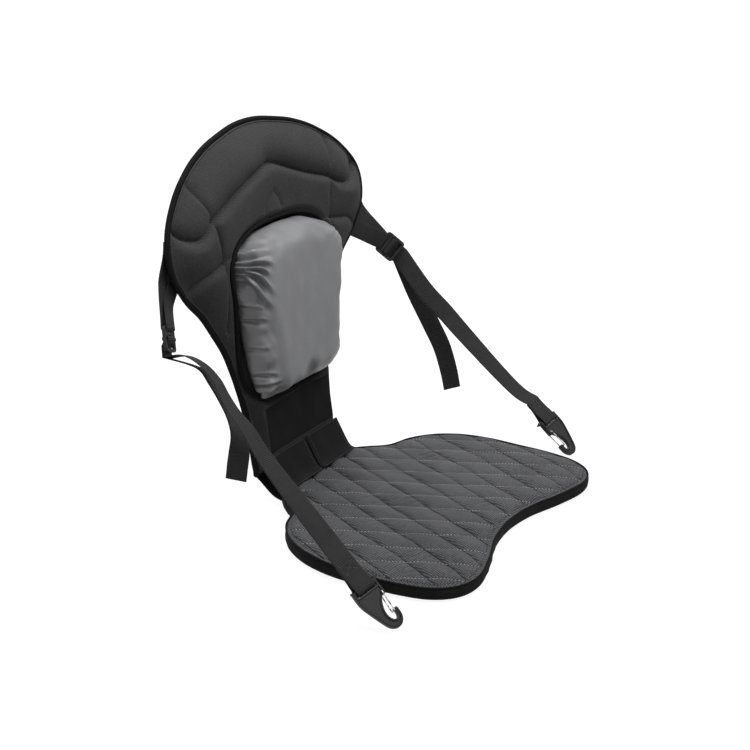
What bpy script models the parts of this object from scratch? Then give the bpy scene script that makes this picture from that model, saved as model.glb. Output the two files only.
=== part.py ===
# Kayak seat: a quilted pad, a moulded backrest with a lumbar pillow, and side straps with snap hooks.
# Lengths are in metres. The sitter faces -Y, +X is one side, +Z is up, and the origin is under the pad.
import math

import bmesh
import bpy
from mathutils import Matrix, Vector
from mathutils.bvhtree import BVHTree
from mathutils.geometry import tessellate_polygon

for old in list(bpy.data.objects):
    bpy.data.objects.remove(old, do_unlink=True)

# Room between pieces that touch
CLEARANCE = 0.0003

# Seat pad
PAD_WIDTH = 0.430
PAD_DEPTH = 0.318
PAD_BACK_Y = 0.160
PAD_THICKNESS = 0.0200
PAD_CLOTH = 0.0010
PAD_BAND = 0.0016
PAD_PIPING_RADIUS = 0.0020
QUILT_SPACING = 0.0400
QUILT_SLOPE = 0.47
QUILT_START = (0.012, -0.030)
QUILT_PUFF = 0.0032
QUILT_SEAM_WIDTH = 0.0040
# Half outline: share of the half width, share of the depth from the back edge
PAD_SHAPE = (
    (0.0, 0.0), (0.18, 0.0), (0.34, 0.001), (0.395, 0.014), (0.46, 0.060), (0.56, 0.135), (0.72, 0.175), (0.85, 0.245),
    (0.94, 0.345), (0.99, 0.470), (1.0, 0.600), (0.995, 0.74), (0.953, 0.88), (0.85, 0.970),
    (0.69, 1.0), (0.465, 0.966), (0.23, 0.912), (0.0, 0.893),
)

# Backrest
BACK_WIDTH = 0.441
BACK_FOOT = 0.035
BACK_HEIGHT = 0.4405
BACK_PLANE_Y = 0.194
BACK_RECLINE = math.radians(8.0)
BACK_WRAP = 0.50
FOAM_RIM = 0.0070
FOAM_FULL = 0.0220
FOAM_ROLL = 0.0160
RECESS_FLOOR = 0.0080
CHANNEL_DEPTH = 0.0085
CHANNEL_WIDTH = 0.0080
STIFFENER_THICKNESS = 0.0015
STIFFENER_MARGIN = 0.0140
REAR_CLOTH = 0.0012
BINDING_THICKNESS = 0.0022
BINDING_LAP = 0.0012
BACK_PIPING_RADIUS = 0.0011
BACK_PIPING_INSET = 0.0070
RECESS_BINDING_RADIUS = 0.0022
# Half outline: share of the half width, share of the height
BACK_SHAPE = (
    (0.0, 0.0), (0.365, 0.0), (0.408, 0.028), (0.413, 0.121), (0.431, 0.202), (0.463, 0.272),
    (0.499, 0.331), (0.553, 0.397), (0.635, 0.459), (0.730, 0.522), (0.839, 0.572),
    (0.907, 0.611), (0.971, 0.658), (1.0, 0.706), (1.0, 0.754), (0.966, 0.797), (0.889, 0.842),
    (0.794, 0.881), (0.680, 0.915), (0.567, 0.942), (0.422, 0.967), (0.281, 0.983), (0.136, 0.996),
    (0.0, 1.0),
)
# Lumbar recess, half outline: share of its half width, share of its height
RECESS_WIDTH = 0.220
RECESS_FOOT = 0.129
RECESS_HEIGHT = 0.226
RECESS_SHAPE = (
    (0.0, 0.0), (0.455, 0.009), (0.664, 0.040), (0.791, 0.093), (0.845, 0.159), (0.891, 0.270),
    (0.936, 0.469), (0.973, 0.624), (1.0, 0.757), (0.955, 0.845), (0.773, 0.934), (0.455, 0.987),
    (0.0, 1.0),
)
# The main moulded channel: half width and height on the face, from the foot up to the peak
CHANNEL_LINE = (
    (0.0, 0.085), (0.080, 0.088), (0.094, 0.125), (0.103, 0.185), (0.113, 0.240), (0.121, 0.300),
    (0.127, 0.345), (0.131, 0.377), (0.100, 0.391), (0.064, 0.405), (0.030, 0.419), (0.0, 0.427),
)
CHANNEL_START = 0.235
NODE_CHANNELS = (
    ((0.131, 0.377), (0.146, 0.405), (0.155, 0.436)),
    ((0.131, 0.377), (0.160, 0.366), (0.184, 0.372), (0.203, 0.388)),
    ((0.121, 0.325), (0.160, 0.318), (0.188, 0.301)),
)

# Lumbar pillow
PILLOW_MARGIN = 0.0060
PILLOW_DEPTH = 0.0560
PILLOW_TAPER = 0.22
GATHER_DEPTH = 0.0016
GATHER_COUNT = 12

# Cloth between backrest and pad
LUMBAR_PANEL_TOP = 0.124
LUMBAR_PANEL_FOOT = 0.064
LUMBAR_PANEL_WIDTH = 0.150
PANEL_CLOTH = 0.0012
HINGE_WIDTH = 0.158
HINGE_CLOTH = 0.0020
TAB_WIDTH = 0.0770
TAB_SPLIT = 0.0030
TAB_CLOTH = 0.0028
TAB_TOP_Z = 0.0670
TAB_LAP = 0.0130

# Webbing, buckle and hook
WEBBING_WIDTH = 0.0250
WEBBING_THICKNESS = 0.0015
YOKE_SEWN_LENGTH = 0.0420
YOKE_CLEAR = 0.0150
BUCKLE_WIDTH = 0.0330
BUCKLE_THICKNESS = 0.0040
BUCKLE_BAR = 0.0040
BUCKLE_PITCH = 0.0130
HOOK_THICKNESS = 0.0070
HOOK_BAR_SETBACK = 0.0074
GATE_WIRE_RADIUS = 0.0009
GATE_PIVOT = (0.0132, 0.0072)
GATE_END = (0.0104, 0.0330)
GATE_BORE_PLAY = 0.0004
PLATE_CHAMFER = 0.0008
SEWN_LOOP = 0.0340
# Hook outline in its own plane, millimetres: x across to the gate, y from the bar line to the nose
HOOK_OUTLINE_MM = (
    (-15.5, -9.5), (15.0, -9.5), (16.5, -8.0), (16.5, 9.0), (15.0, 11.5), (11.5, 12.0), (8.0, 15.0),
    (5.0, 20.0), (2.5, 26.0), (1.8, 32.0), (2.8, 37.0), (5.5, 40.5), (8.8, 40.8), (11.0, 38.0),
    (11.6, 34.0), (11.6, 30.5), (16.2, 30.5), (16.6, 36.0), (15.6, 42.0), (12.5, 47.0), (8.0, 50.0),
    (3.0, 50.3), (-1.5, 48.2), (-5.5, 44.0), (-9.5, 34.0), (-13.5, 22.0), (-17.0, 10.0),
    (-17.5, 0.0), (-17.0, -8.0),
)
HOOK_SLOT_MM = ((-13.6, -5.2), (13.6, -5.2), (13.6, 0.6), (-13.6, 0.6))
# Where each side's hook, buckle and webbing lie, with +X as outward on both sides. The yoke's legs
# are given where they pass the rim, as half width and height on the face.
SIDES = {
    "left": {
        "sign": -1.0,
        "yoke_legs": ((0.2160, 0.3320), (0.2080, 0.3130)),
        "buckle_at": (0.2420, 0.2020, 0.2700), "buckle_axis": (0.30, -0.32, -0.90), "buckle_turn": 22.0,
        "hook_at": (0.2790, -0.0860, 0.0372), "hook_axis": (0.06, -0.76, -0.65), "hook_turn": -26.0,
        "main": ((0.2490, 0.1732, 0.2572), (0.2520, 0.1478, 0.2526), (0.2545, 0.1279, 0.2391),
                 (0.2560, 0.1158, 0.2220), (0.2575, 0.1022, 0.2058), (0.2600, 0.0812, 0.1879),
                 (0.2640, 0.0506, 0.1546), (0.2710, -0.0260, 0.0870)),
        "tail": ((0.2455, 0.1707, 0.2461), (0.2440, 0.1536, 0.2410), (0.2430, 0.1423, 0.2269),
                 (0.2420, 0.1298, 0.2082), (0.2410, 0.1187, 0.1878), (0.2400, 0.1118, 0.1678),
                 (0.2390, 0.1105, 0.1476), (0.2380, 0.1140, 0.1287), (0.2370, 0.1175, 0.1097)),
        "tail_turn": 82.0, "tail_held": 0.095,
    },
    "right": {
        "sign": 1.0,
        "yoke_legs": ((0.2150, 0.3180), (0.1980, 0.2960)),
        "buckle_at": (0.2460, 0.1900, 0.2590), "buckle_axis": (0.35, -0.68, -0.65), "buckle_turn": 53.0,
        "hook_at": (0.2570, -0.0610, 0.0402), "hook_axis": (0.05, -0.72, -0.69), "hook_turn": 14.0,
        "main": ((0.2500, 0.1380, 0.2050), (0.2530, 0.1060, 0.1760), (0.2540, 0.0750, 0.1480),
                 (0.2550, 0.0200, 0.1010), (0.2550, -0.0120, 0.0775)),
        "tail": ((0.2600, 0.1570, 0.1960), (0.2570, 0.1280, 0.1510), (0.2550, 0.1100, 0.1220),
                 (0.2520, 0.0970, 0.0900), (0.2500, 0.0900, 0.0650)),
        "tail_turn": 8.0, "tail_held": 0.0,
    },
}

MATERIALS = {
    "quilted_top_cloth": ((0.095, 0.097, 0.102), 0.72, 0.0),
    "black_cloth": ((0.012, 0.012, 0.013), 0.85, 0.0),
    "moulded_knit": ((0.030, 0.030, 0.032), 0.90, 0.0),
    "closed_cell_foam": ((0.040, 0.040, 0.043), 0.95, 0.0),
    "plastic_sheet": ((0.020, 0.020, 0.022), 0.50, 0.0),
    "coated_nylon": ((0.165, 0.168, 0.175), 0.42, 0.0),
    "black_webbing": ((0.020, 0.020, 0.022), 0.80, 0.0),
    "moulded_nylon": ((0.028, 0.028, 0.030), 0.38, 0.0),
    "stainless_wire": ((0.62, 0.62, 0.63), 0.25, 1.0),
    "piping": ((0.016, 0.016, 0.017), 0.60, 0.0),
}


def material(name):
    """The named material, made once from the MATERIALS table."""
    found = bpy.data.materials.get(name)
    if found:
        return found
    colour, roughness, metallic = MATERIALS[name]
    made = bpy.data.materials.new(name)
    made.use_nodes = True
    shader = made.node_tree.nodes["Principled BSDF"]
    shader.inputs["Base Color"].default_value = (*colour, 1.0)
    shader.inputs["Roughness"].default_value = roughness
    shader.inputs["Metallic"].default_value = metallic
    made.diffuse_color = (*colour, 1.0)
    return made


def add_node(name, points, faces, material_name, parent=None):
    """One named object from world points, with its faces turned outward."""
    mesh = bpy.data.meshes.new(name)
    origin = parent.matrix_world.translation if parent else Vector()
    mesh.from_pydata([Vector(p) - origin for p in points], [], faces)
    work = bmesh.new()
    work.from_mesh(mesh)
    bmesh.ops.recalc_face_normals(work, faces=work.faces)
    work.to_mesh(mesh)
    work.free()
    mesh.materials.append(material(material_name))
    node = bpy.data.objects.new(name, mesh)
    bpy.context.scene.collection.objects.link(node)
    if parent:
        node.parent = parent
    return node


def catmull(points, steps, closed):
    """Points on a smooth curve through the given ones."""
    count = len(points)
    path = [Vector(p) for p in points]

    def at(i):
        return path[i % count] if closed else path[min(max(i, 0), count - 1)]

    found = []
    for i in range(count if closed else count - 1):
        a, b, c, d = at(i - 1), at(i), at(i + 1), at(i + 2)
        for k in range(steps):
            t = k / steps
            found.append(0.5 * ((2 * b) + (c - a) * t + (2 * a - 5 * b + 4 * c - d) * t * t
                                + (3 * b - a - 3 * c + d) * t ** 3))
    if not closed:
        found.append(path[-1])
    return found


def resample(path, count, closed):
    """The same line with evenly spaced points."""
    line = list(path) + ([path[0]] if closed else [])
    reach = [0.0]
    for a, b in zip(line, line[1:]):
        reach.append(reach[-1] + (b - a).length)
    spots, k = [], 0
    for i in range(count):
        target = reach[-1] * i / (count if closed else count - 1)
        while k < len(line) - 2 and reach[k + 1] < target:
            k += 1
        span = max(reach[k + 1] - reach[k], 1e-12)
        spots.append(line[k].lerp(line[k + 1], min((target - reach[k]) / span, 1.0)))
    return spots


def mirrored(half):
    """A closed outline from its +X half, given from the middle of one end to the middle of the other."""
    return list(half) + [(-x, y) for x, y in reversed(half[1:-1])]


def inset(loop, distance):
    """A closed 2-D loop moved inward by a distance, along its own normals."""
    count = len(loop)
    area = sum(loop[i].x * loop[(i + 1) % count].y - loop[(i + 1) % count].x * loop[i].y for i in range(count))
    turn = 1.0 if area > 0 else -1.0
    found = []
    for i in range(count):
        before = (loop[i] - loop[i - 1]).normalized()
        after = (loop[(i + 1) % count] - loop[i]).normalized()
        along = (before + after).normalized()
        across = Vector((-along.y, along.x)) * turn
        stretch = 1.0 / max(along.dot(after), 0.5)
        found.append(loop[i] + across * distance * stretch)
    return found


def rings_solid(rings, front_centre=None, back_centre=None):
    """Points and faces of a closed solid from stacked rings of equal count, closed by a fan or by flat caps."""
    count = len(rings[0])
    points = [p for ring in rings for p in ring]
    faces = []
    for r in range(len(rings) - 1):
        for i in range(count):
            j = (i + 1) % count
            faces.append((r * count + i, r * count + j, (r + 1) * count + j, (r + 1) * count + i))
    for ring, centre in ((0, back_centre), (len(rings) - 1, front_centre)):
        loop = [ring * count + i for i in range(count)]
        if centre is None:
            faces += [tuple(loop[k] for k in tri) for tri in tessellate_polygon([[points[i] for i in loop]])]
        else:
            points.append(centre)
            faces += [(loop[i], loop[(i + 1) % count], len(points) - 1) for i in range(count)]
    return points, faces


def prism(name, loop, low, high, material_name):
    """An upright solid between two heights."""
    rings = [[Vector((p.x, p.y, z)) for p in loop] for z in (low, high)]
    add_node(name, *rings_solid(rings), material_name)


def closed_sweep(name, sections, material_name):
    """A ring-shaped solid from sections of equal count, the last joined to the first."""
    sides, count = len(sections[0]), len(sections)
    points = [p for section in sections for p in section]
    faces = []
    for i in range(count):
        for k in range(sides):
            a, b = i * sides, ((i + 1) % count) * sides
            m = (k + 1) % sides
            faces.append((a + k, a + m, b + m, b + k))
    add_node(name, points, faces, material_name)


def open_sweep(sections):
    """Points and faces of a bar-shaped solid from sections of equal count, closed at both ends."""
    sides, count = len(sections[0]), len(sections)
    points = [p for section in sections for p in section]
    faces = []
    for i in range(count - 1):
        for k in range(sides):
            a, b, m = i * sides, (i + 1) * sides, (k + 1) % sides
            faces.append((a + k, a + m, b + m, b + k))
    faces.append(tuple(range(sides)))
    faces.append(tuple((count - 1) * sides + k for k in range(sides)))
    return points, faces


def round_section(centre, across, upward, radius, sides):
    """A round section about a centre, in the plane of two unit directions."""
    return [centre + radius * (math.cos(2 * math.pi * k / sides) * across
                               + math.sin(2 * math.pi * k / sides) * upward) for k in range(sides)]


def distance_to_line(point, line):
    """The shortest distance from a 2-D point to a polyline."""
    best = 1e9
    for a, b in zip(line, line[1:]):
        a, b = Vector(a), Vector(b)
        t = max(0.0, min(1.0, (point - a).dot(b - a) / (b - a).length_squared))
        best = min(best, (point - a.lerp(b, t)).length)
    return best


def smoothstep(t):
    t = max(0.0, min(1.0, t))
    return t * t * (3 - 2 * t)


# The seat pad
PAD_POINTS = 72
pad_outline = resample(catmull([Vector((x * PAD_WIDTH / 2, PAD_BACK_Y - y * PAD_DEPTH))
                                for x, y in mirrored(PAD_SHAPE)], 12, True), PAD_POINTS, True)
pad_core = inset(pad_outline, PAD_BAND + CLEARANCE)
cloth_low = PAD_CLOTH
foam_low = cloth_low + CLEARANCE
foam_high = PAD_THICKNESS - PAD_CLOTH - CLEARANCE
prism("seat_pad_base_cover", pad_core, 0.0, cloth_low, "black_cloth")
prism("seat_pad_foam", pad_core, foam_low, foam_high, "closed_cell_foam")

band_inner = inset(pad_outline, PAD_BAND)
closed_sweep("seat_pad_side_band",
             [[Vector((o.x, o.y, 0.0)), Vector((o.x, o.y, PAD_THICKNESS)),
               Vector((i.x, i.y, PAD_THICKNESS)), Vector((i.x, i.y, 0.0))]
              for o, i in zip(pad_outline, band_inner)], "black_cloth")

piping_line = inset(pad_outline, PAD_BAND / 2)
piping_z = PAD_THICKNESS + CLEARANCE + PAD_PIPING_RADIUS
PIPING_SIDES = 6
closed_sweep("seat_pad_piping",
             [round_section(Vector((p.x, p.y, piping_z)),
                            Vector((p.x - q.x, p.y - q.y, 0.0)).normalized(), Vector((0, 0, 1)),
                            PAD_PIPING_RADIUS, PIPING_SIDES)
              for p, q in zip(piping_line, inset(piping_line, 0.001))], "piping")


def quilted_cover():
    """The top cloth: the outline cut along both families of stitch lines, with each diamond puffed."""
    seam_z = PAD_THICKNESS
    work = bmesh.new()
    edge = [work.verts.new((p.x, p.y, seam_z)) for p in pad_core]
    work.faces.new(edge)
    lines = int(PAD_WIDTH / QUILT_SPACING) + 5
    start = Vector((*QUILT_START, 0.0))
    across = Vector((1.0, 0.0, 0.0))
    for family in (1.0, -1.0):
        along = Vector((family * QUILT_SLOPE, 1.0, 0.0)).normalized()
        normal = Vector((along.y, -along.x, 0.0))
        for k in range(-lines, lines + 1):
            bmesh.ops.bisect_plane(work, geom=work.verts[:] + work.edges[:] + work.faces[:],
                                   dist=1e-6, plane_co=start + across * QUILT_SPACING * k, plane_no=normal)
    full = QUILT_SPACING * QUILT_SPACING / (2 * QUILT_SLOPE)
    cells = list(work.faces)
    seams = set(work.verts)
    for face in cells:
        area = face.calc_area()
        seam = min(QUILT_SEAM_WIDTH, area / face.calc_perimeter())
        bmesh.ops.inset_individual(work, faces=[face], thickness=seam, use_even_offset=False)
        share = min(1.0, math.sqrt(area / full))
        inner = [v for v in face.verts if v not in seams]
        for vert in inner:
            vert.co.z = seam_z + 0.62 * QUILT_PUFF * share
        centre = bmesh.ops.poke(work, faces=[face])["verts"]
        for vert in centre:
            vert.co.z = seam_z + QUILT_PUFF * share
    bmesh.ops.triangulate(work, faces=work.faces[:])
    work.verts.index_update()
    points = [v.co.copy() for v in work.verts]
    faces = [tuple(v.index for v in f.verts) for f in work.faces]
    rim = [e for e in work.edges if len(e.link_faces) == 1]
    follow = {}
    for e in rim:
        follow.setdefault(e.verts[0].index, []).append(e.verts[1].index)
        follow.setdefault(e.verts[1].index, []).append(e.verts[0].index)
    loop = [rim[0].verts[0].index]
    before = None
    while True:
        ahead = [i for i in follow[loop[-1]] if i != before]
        before = loop[-1]
        if ahead[0] == loop[0]:
            break
        loop.append(ahead[0])
    work.free()
    low = len(points)
    points += [Vector((points[i].x, points[i].y, PAD_THICKNESS - PAD_CLOTH)) for i in loop]
    count = len(loop)
    for i in range(count):
        j = (i + 1) % count
        faces.append((loop[i], loop[j], low + j, low + i))
    faces += [tuple(low + k for k in tri) for tri in tessellate_polygon([points[low:]])]
    add_node("seat_pad_top_cover", points, faces, "quilted_top_cloth")


quilted_cover()

# The backrest face: x across, v up the reclined face, d forward from the foam's back
UP_FACE = Vector((0.0, math.sin(BACK_RECLINE), math.cos(BACK_RECLINE)))
FORWARD = Vector((0.0, -math.cos(BACK_RECLINE), math.sin(BACK_RECLINE)))


def face_point(x, v, d):
    return Vector((x, BACK_PLANE_Y, 0.0)) + UP_FACE * v + FORWARD * (d + BACK_WRAP * x * x)


BACK_POINTS = 84
back_curve = catmull([Vector((x * BACK_WIDTH / 2, BACK_FOOT + v * BACK_HEIGHT)) for x, v in mirrored(BACK_SHAPE)],
                     8, True)
back_outline = resample(back_curve, BACK_POINTS, True)
recess_curve = catmull([Vector((x * RECESS_WIDTH / 2, RECESS_FOOT + v * RECESS_HEIGHT))
                        for x, v in mirrored(RECESS_SHAPE)], 12, True)
channel_curve = [Vector(p) for p in mirrored(CHANNEL_LINE)]
face_centre = Vector((0.0, RECESS_FOOT + RECESS_HEIGHT / 2))


def where_ray_meets(curve, toward):
    """Where the ray from the face's centre toward a point meets a closed curve."""
    aim = (toward - face_centre).normalized()
    side = Vector((-aim.y, aim.x))
    best = None
    for a, b in zip(curve, curve[1:] + curve[:1]):
        da, db = (a - face_centre).dot(side), (b - face_centre).dot(side)
        if da * db > 0 or da == db:
            continue
        spot = a.lerp(b, da / (da - db))
        if (spot - face_centre).dot(aim) > 0:
            best = spot if best is None or (spot - face_centre).length > (best - face_centre).length else best
    return best


recess_loop = [where_ray_meets(recess_curve, p) for p in back_outline]
channel_loop = [where_ray_meets(channel_curve, p) for p in back_outline]
side_channels = [[Vector((s * x, v)) for x, v in line] for line in NODE_CHANNELS for s in (1, -1)]
main_channels = [[Vector((s * x, v)) for x, v in CHANNEL_LINE if v >= CHANNEL_START] for s in (1, -1)]


def foam_front(spot, from_edge, from_recess):
    """The foam's front, measured from its back: full, rolled off at the rim, with its moulded channels."""
    full = FOAM_RIM + (FOAM_FULL - FOAM_RIM) * smoothstep(from_edge / FOAM_ROLL) ** 0.5
    cut = 0.0
    for line in main_channels + side_channels:
        away = distance_to_line(spot, line)
        cut = max(cut, math.exp(-(away / CHANNEL_WIDTH) ** 2))
    ease = smoothstep(from_edge / (2 * FOAM_ROLL)) * smoothstep(from_recess / CHANNEL_WIDTH)
    return full - CHANNEL_DEPTH * cut * ease


def foam_rings():
    shares = (0.0, 0.10, 0.26, 0.60, 0.86)
    rings = []
    for outer, inner, steps in ((back_outline, channel_loop, shares), (channel_loop, recess_loop, (0.0, 0.2, 0.62))):
        for share in steps:
            rings.append([a.lerp(b, share) for a, b in zip(outer, inner)])
    rings.append(list(recess_loop))
    return rings


ring_lines = foam_rings()
BACK_SHARES = (0.72, 0.40)


def shrunk(loop, share):
    return [face_centre.lerp(p, share) for p in loop]


def back_side(d, to_rim=True):
    """Rings and centre of a surface parallel to the foam's back, from its rim or the stiffener's inward."""
    loops = [back_outline] if to_rim else []
    loops += [inset(back_outline, STIFFENER_MARGIN)] + [shrunk(back_outline, share) for share in BACK_SHARES]
    rings = [[face_point(p.x, p.y, d) for p in loop] for loop in loops]
    return rings, face_point(face_centre.x, face_centre.y, d)


def backrest_foam():
    back, back_middle = back_side(0.0)
    front = []
    for k, ring in enumerate(ring_lines):
        row = []
        for i, spot in enumerate(ring):
            from_edge = (spot - back_outline[i]).length
            from_recess = (spot - recess_loop[i]).length
            row.append(face_point(spot.x, spot.y, foam_front(spot, from_edge, from_recess)))
        front.append(row)
    wall_foot = inset(recess_loop, 0.003)
    floor = [[face_point(p.x, p.y, RECESS_FLOOR) for p in ring]
             for ring in (wall_foot, shrunk(wall_foot, 0.6), shrunk(wall_foot, 0.3))]
    rings = back[::-1] + front + floor
    middle = face_point(face_centre.x, face_centre.y, RECESS_FLOOR)
    points, faces = rings_solid(rings, middle, back_middle)
    add_node("backrest_foam", points, faces, "moulded_knit")
    return BVHTree.FromPolygons(points, faces)


foam_surface = backrest_foam()


def foam_height(spot, room):
    """How far forward the foam's front stands near a spot on the face."""
    best = 0.0
    for dx, dv in ((0, 0), (room, 0), (-room, 0), (0, room), (0, -room)):
        start = face_point(spot.x + dx, spot.y + dv, 0.2)
        hit = foam_surface.ray_cast(start, -FORWARD)[0]
        if hit:
            best = max(best, 0.2 - (hit - start).length)
    return best


def back_sheet(name, front_d, thickness, to_rim, material_name):
    """A sheet that follows the foam's back, behind it."""
    front, front_middle = back_side(front_d, to_rim)
    rear, rear_middle = back_side(front_d - thickness, to_rim)
    add_node(name, *rings_solid(rear[::-1] + front, front_middle, rear_middle), material_name)


stiffener_front = -CLEARANCE
rear_cloth_front = stiffener_front - STIFFENER_THICKNESS - CLEARANCE
rear_face = rear_cloth_front - REAR_CLOTH
back_sheet("backrest_stiffener", stiffener_front, STIFFENER_THICKNESS, False, "plastic_sheet")
back_sheet("backrest_rear_cover", rear_cloth_front, REAR_CLOTH, True, "black_cloth")


def face_frame(loop, i, d):
    """Centre, outward direction in the face and forward direction at one point of a loop on the face."""
    here = loop[i]
    ahead, behind = loop[(i + 1) % len(loop)], loop[i - 1]
    along = (face_point(ahead.x, ahead.y, d) - face_point(behind.x, behind.y, d)).normalized()
    outward = FORWARD.cross(along).normalized()
    if outward.dot(face_point(here.x, here.y, d) - face_point(face_centre.x, face_centre.y, d)) < 0:
        outward = -outward
    return face_point(here.x, here.y, d), outward, FORWARD


def edge_binding():
    """A flat tape round the backrest's edge."""
    rear_reach = rear_face - BINDING_LAP
    front_reach = FOAM_RIM + BINDING_LAP
    sections = []
    for i in range(BACK_POINTS):
        middle, outward, forward = face_frame(back_outline, i, 0.0)
        inner, outer = CLEARANCE, CLEARANCE + BINDING_THICKNESS
        sections.append([middle + outward * o + forward * f
                         for o, f in ((inner, rear_reach), (outer, rear_reach * 0.6), (outer, front_reach * 0.75),
                                      (inner, front_reach))])
    closed_sweep("backrest_edge_binding", sections, "piping")


edge_binding()


def cord_on_face(name, loop, heights, radius, sides, material_name):
    """A round cord that lies on the foam's front along a loop."""
    sections = []
    for i in range(len(loop)):
        middle, outward, forward = face_frame(loop, i, heights[i])
        sections.append(round_section(middle, outward, forward, radius, sides))
    closed_sweep(name, sections, material_name)


piping_loop = inset(back_outline, BACK_PIPING_INSET)
piping_heights = [max(foam_height(spot, 2 * BACK_PIPING_RADIUS)
                      for spot in (p, p.lerp(piping_loop[i - 1], 0.5), p.lerp(piping_loop[(i + 1) % BACK_POINTS], 0.5)))
                  + CLEARANCE + BACK_PIPING_RADIUS for i, p in enumerate(piping_loop)]
cord_on_face("backrest_piping", piping_loop, piping_heights, BACK_PIPING_RADIUS, 4, "piping")

recess_heights = [FOAM_FULL + CLEARANCE + RECESS_BINDING_RADIUS] * BACK_POINTS
cord_on_face("recess_binding", recess_loop, recess_heights, RECESS_BINDING_RADIUS, 5, "piping")


def lumbar_pillow():
    """The puffed pillow: rings from its back seam, round its side, to the crown of its front."""
    count = 60
    base = resample(inset([p.copy() for p in recess_curve], PILLOW_MARGIN), count, True)
    low = RECESS_FLOOR + CLEARANCE * 2
    top_v = RECESS_FOOT + RECESS_HEIGHT
    layers = (
        (0.0110, 0.000), (0.0040, 0.055), (0.0, 0.20), (-0.0005, 0.42), (0.0020, 0.66),
        (0.0090, 0.84), (0.0210, 0.94), (0.0400, 0.985), (0.0600, 1.0),
    )
    rings = [[face_point(p.x, p.y, low) for p in shrunk_about(base, 0.35)]]
    for inward, share in layers:
        loop = inset(base, 0.0) if inward == 0.0 else pulled(base, inward)
        row = []
        for i, spot in enumerate(loop):
            depth = PILLOW_DEPTH * (1 - PILLOW_TAPER * (top_v - spot.y) / RECESS_HEIGHT)
            fold = GATHER_DEPTH * math.sin(2 * math.pi * GATHER_COUNT * i / count) * math.sin(math.pi * share)
            row.append(face_point(spot.x, spot.y, low + depth * share + fold))
        rings.append(row)
    middle = pillow_middle(base)
    depth = PILLOW_DEPTH * (1 - PILLOW_TAPER * (top_v - middle.y) / RECESS_HEIGHT)
    add_node("lumbar_pillow", *rings_solid(rings, face_point(middle.x, middle.y, low + depth),
                                           face_point(middle.x, middle.y, low)), "coated_nylon")


def pillow_middle(loop):
    return sum((p for p in loop), Vector((0.0, 0.0))) / len(loop)


def shrunk_about(loop, share):
    middle = pillow_middle(loop)
    return [middle.lerp(p, share) for p in loop]


def pulled(loop, distance):
    """A loop drawn toward its middle by a distance."""
    middle = pillow_middle(loop)
    return [p + (middle - p).normalized() * min(distance, 0.8 * (middle - p).length) for p in loop]


lumbar_pillow()


def sheet_strip(name, rows, thickness_direction, thickness, material_name):
    """A sheet from rows of points, thickened along one direction."""
    columns = len(rows[0])
    front = [p for row in rows for p in row]
    points = front + [p + thickness_direction * thickness for p in front]
    shift = len(front)
    faces = []
    for r in range(len(rows) - 1):
        for c in range(columns - 1):
            a = r * columns + c
            quad = (a, a + 1, a + columns + 1, a + columns)
            faces += [quad, tuple(shift + i for i in reversed(quad))]
    border = ([c for c in range(columns)] + [r * columns + columns - 1 for r in range(1, len(rows))]
              + [(len(rows) - 1) * columns + c for c in range(columns - 2, -1, -1)]
              + [r * columns for r in range(len(rows) - 2, 0, -1)])
    for a, b in zip(border, border[1:] + border[:1]):
        faces.append((a, b, shift + b, shift + a))
    add_node(name, points, faces, material_name)


def across(width, steps, middle=0.0):
    return [middle - width / 2 + width * k / steps for k in range(steps + 1)]


# The plain panel below the pillow, the cloth hinge and the closure tabs
panel_face = FOAM_FULL + CLEARANCE * 2
sheet_strip("lumbar_panel",
            [[face_point(x, v, panel_face) for x in across(LUMBAR_PANEL_WIDTH, 8)]
             for v in (LUMBAR_PANEL_FOOT, (LUMBAR_PANEL_FOOT + LUMBAR_PANEL_TOP) / 2, LUMBAR_PANEL_TOP)],
            FORWARD, PANEL_CLOTH, "black_cloth")

foot_rear = face_point(0.0, BACK_FOOT, 0.0)
hinge_top = foot_rear.z - BINDING_THICKNESS - CLEARANCE * 4
hinge_profile = [(foot_rear.y - 0.0010, hinge_top), (foot_rear.y - 0.0070, hinge_top - 0.0050),
                 (PAD_BACK_Y + 0.0150, 0.0130), (PAD_BACK_Y + CLEARANCE * 3, 0.0080)]
sheet_strip("hinge_panel",
            [[Vector((x, y, z)) for x in across(HINGE_WIDTH, 2)] for y, z in hinge_profile],
            Vector((0.0, 0.35, -0.94)).normalized(), HINGE_CLOTH, "black_cloth")

tab_top = face_point(0.0, TAB_TOP_Z, FOAM_FULL + CLEARANCE * 2)
tab_top_y = face_point(TAB_WIDTH, TAB_TOP_Z, FOAM_FULL + CLEARANCE * 4).y
tab_rest_z = PAD_THICKNESS + QUILT_PUFF + CLEARANCE * 2 + PAD_PIPING_RADIUS
tab_profile = [(tab_top_y, tab_top.z - 0.006), (tab_top_y - 0.0045, tab_top.z - 0.014),
               (PAD_BACK_Y - 0.0030, tab_rest_z + 0.0035), (PAD_BACK_Y - TAB_LAP, tab_rest_z)]
for side, sign in (("left", -1.0), ("right", 1.0)):
    sheet_strip("closure_tab_" + side,
                [[Vector((x, y, z)) for x in across(TAB_WIDTH, 2, sign * (TAB_WIDTH + TAB_SPLIT) / 2)]
                 for y, z in tab_profile],
                Vector((0.0, -0.80, 0.60)), TAB_CLOTH, "black_cloth")


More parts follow.
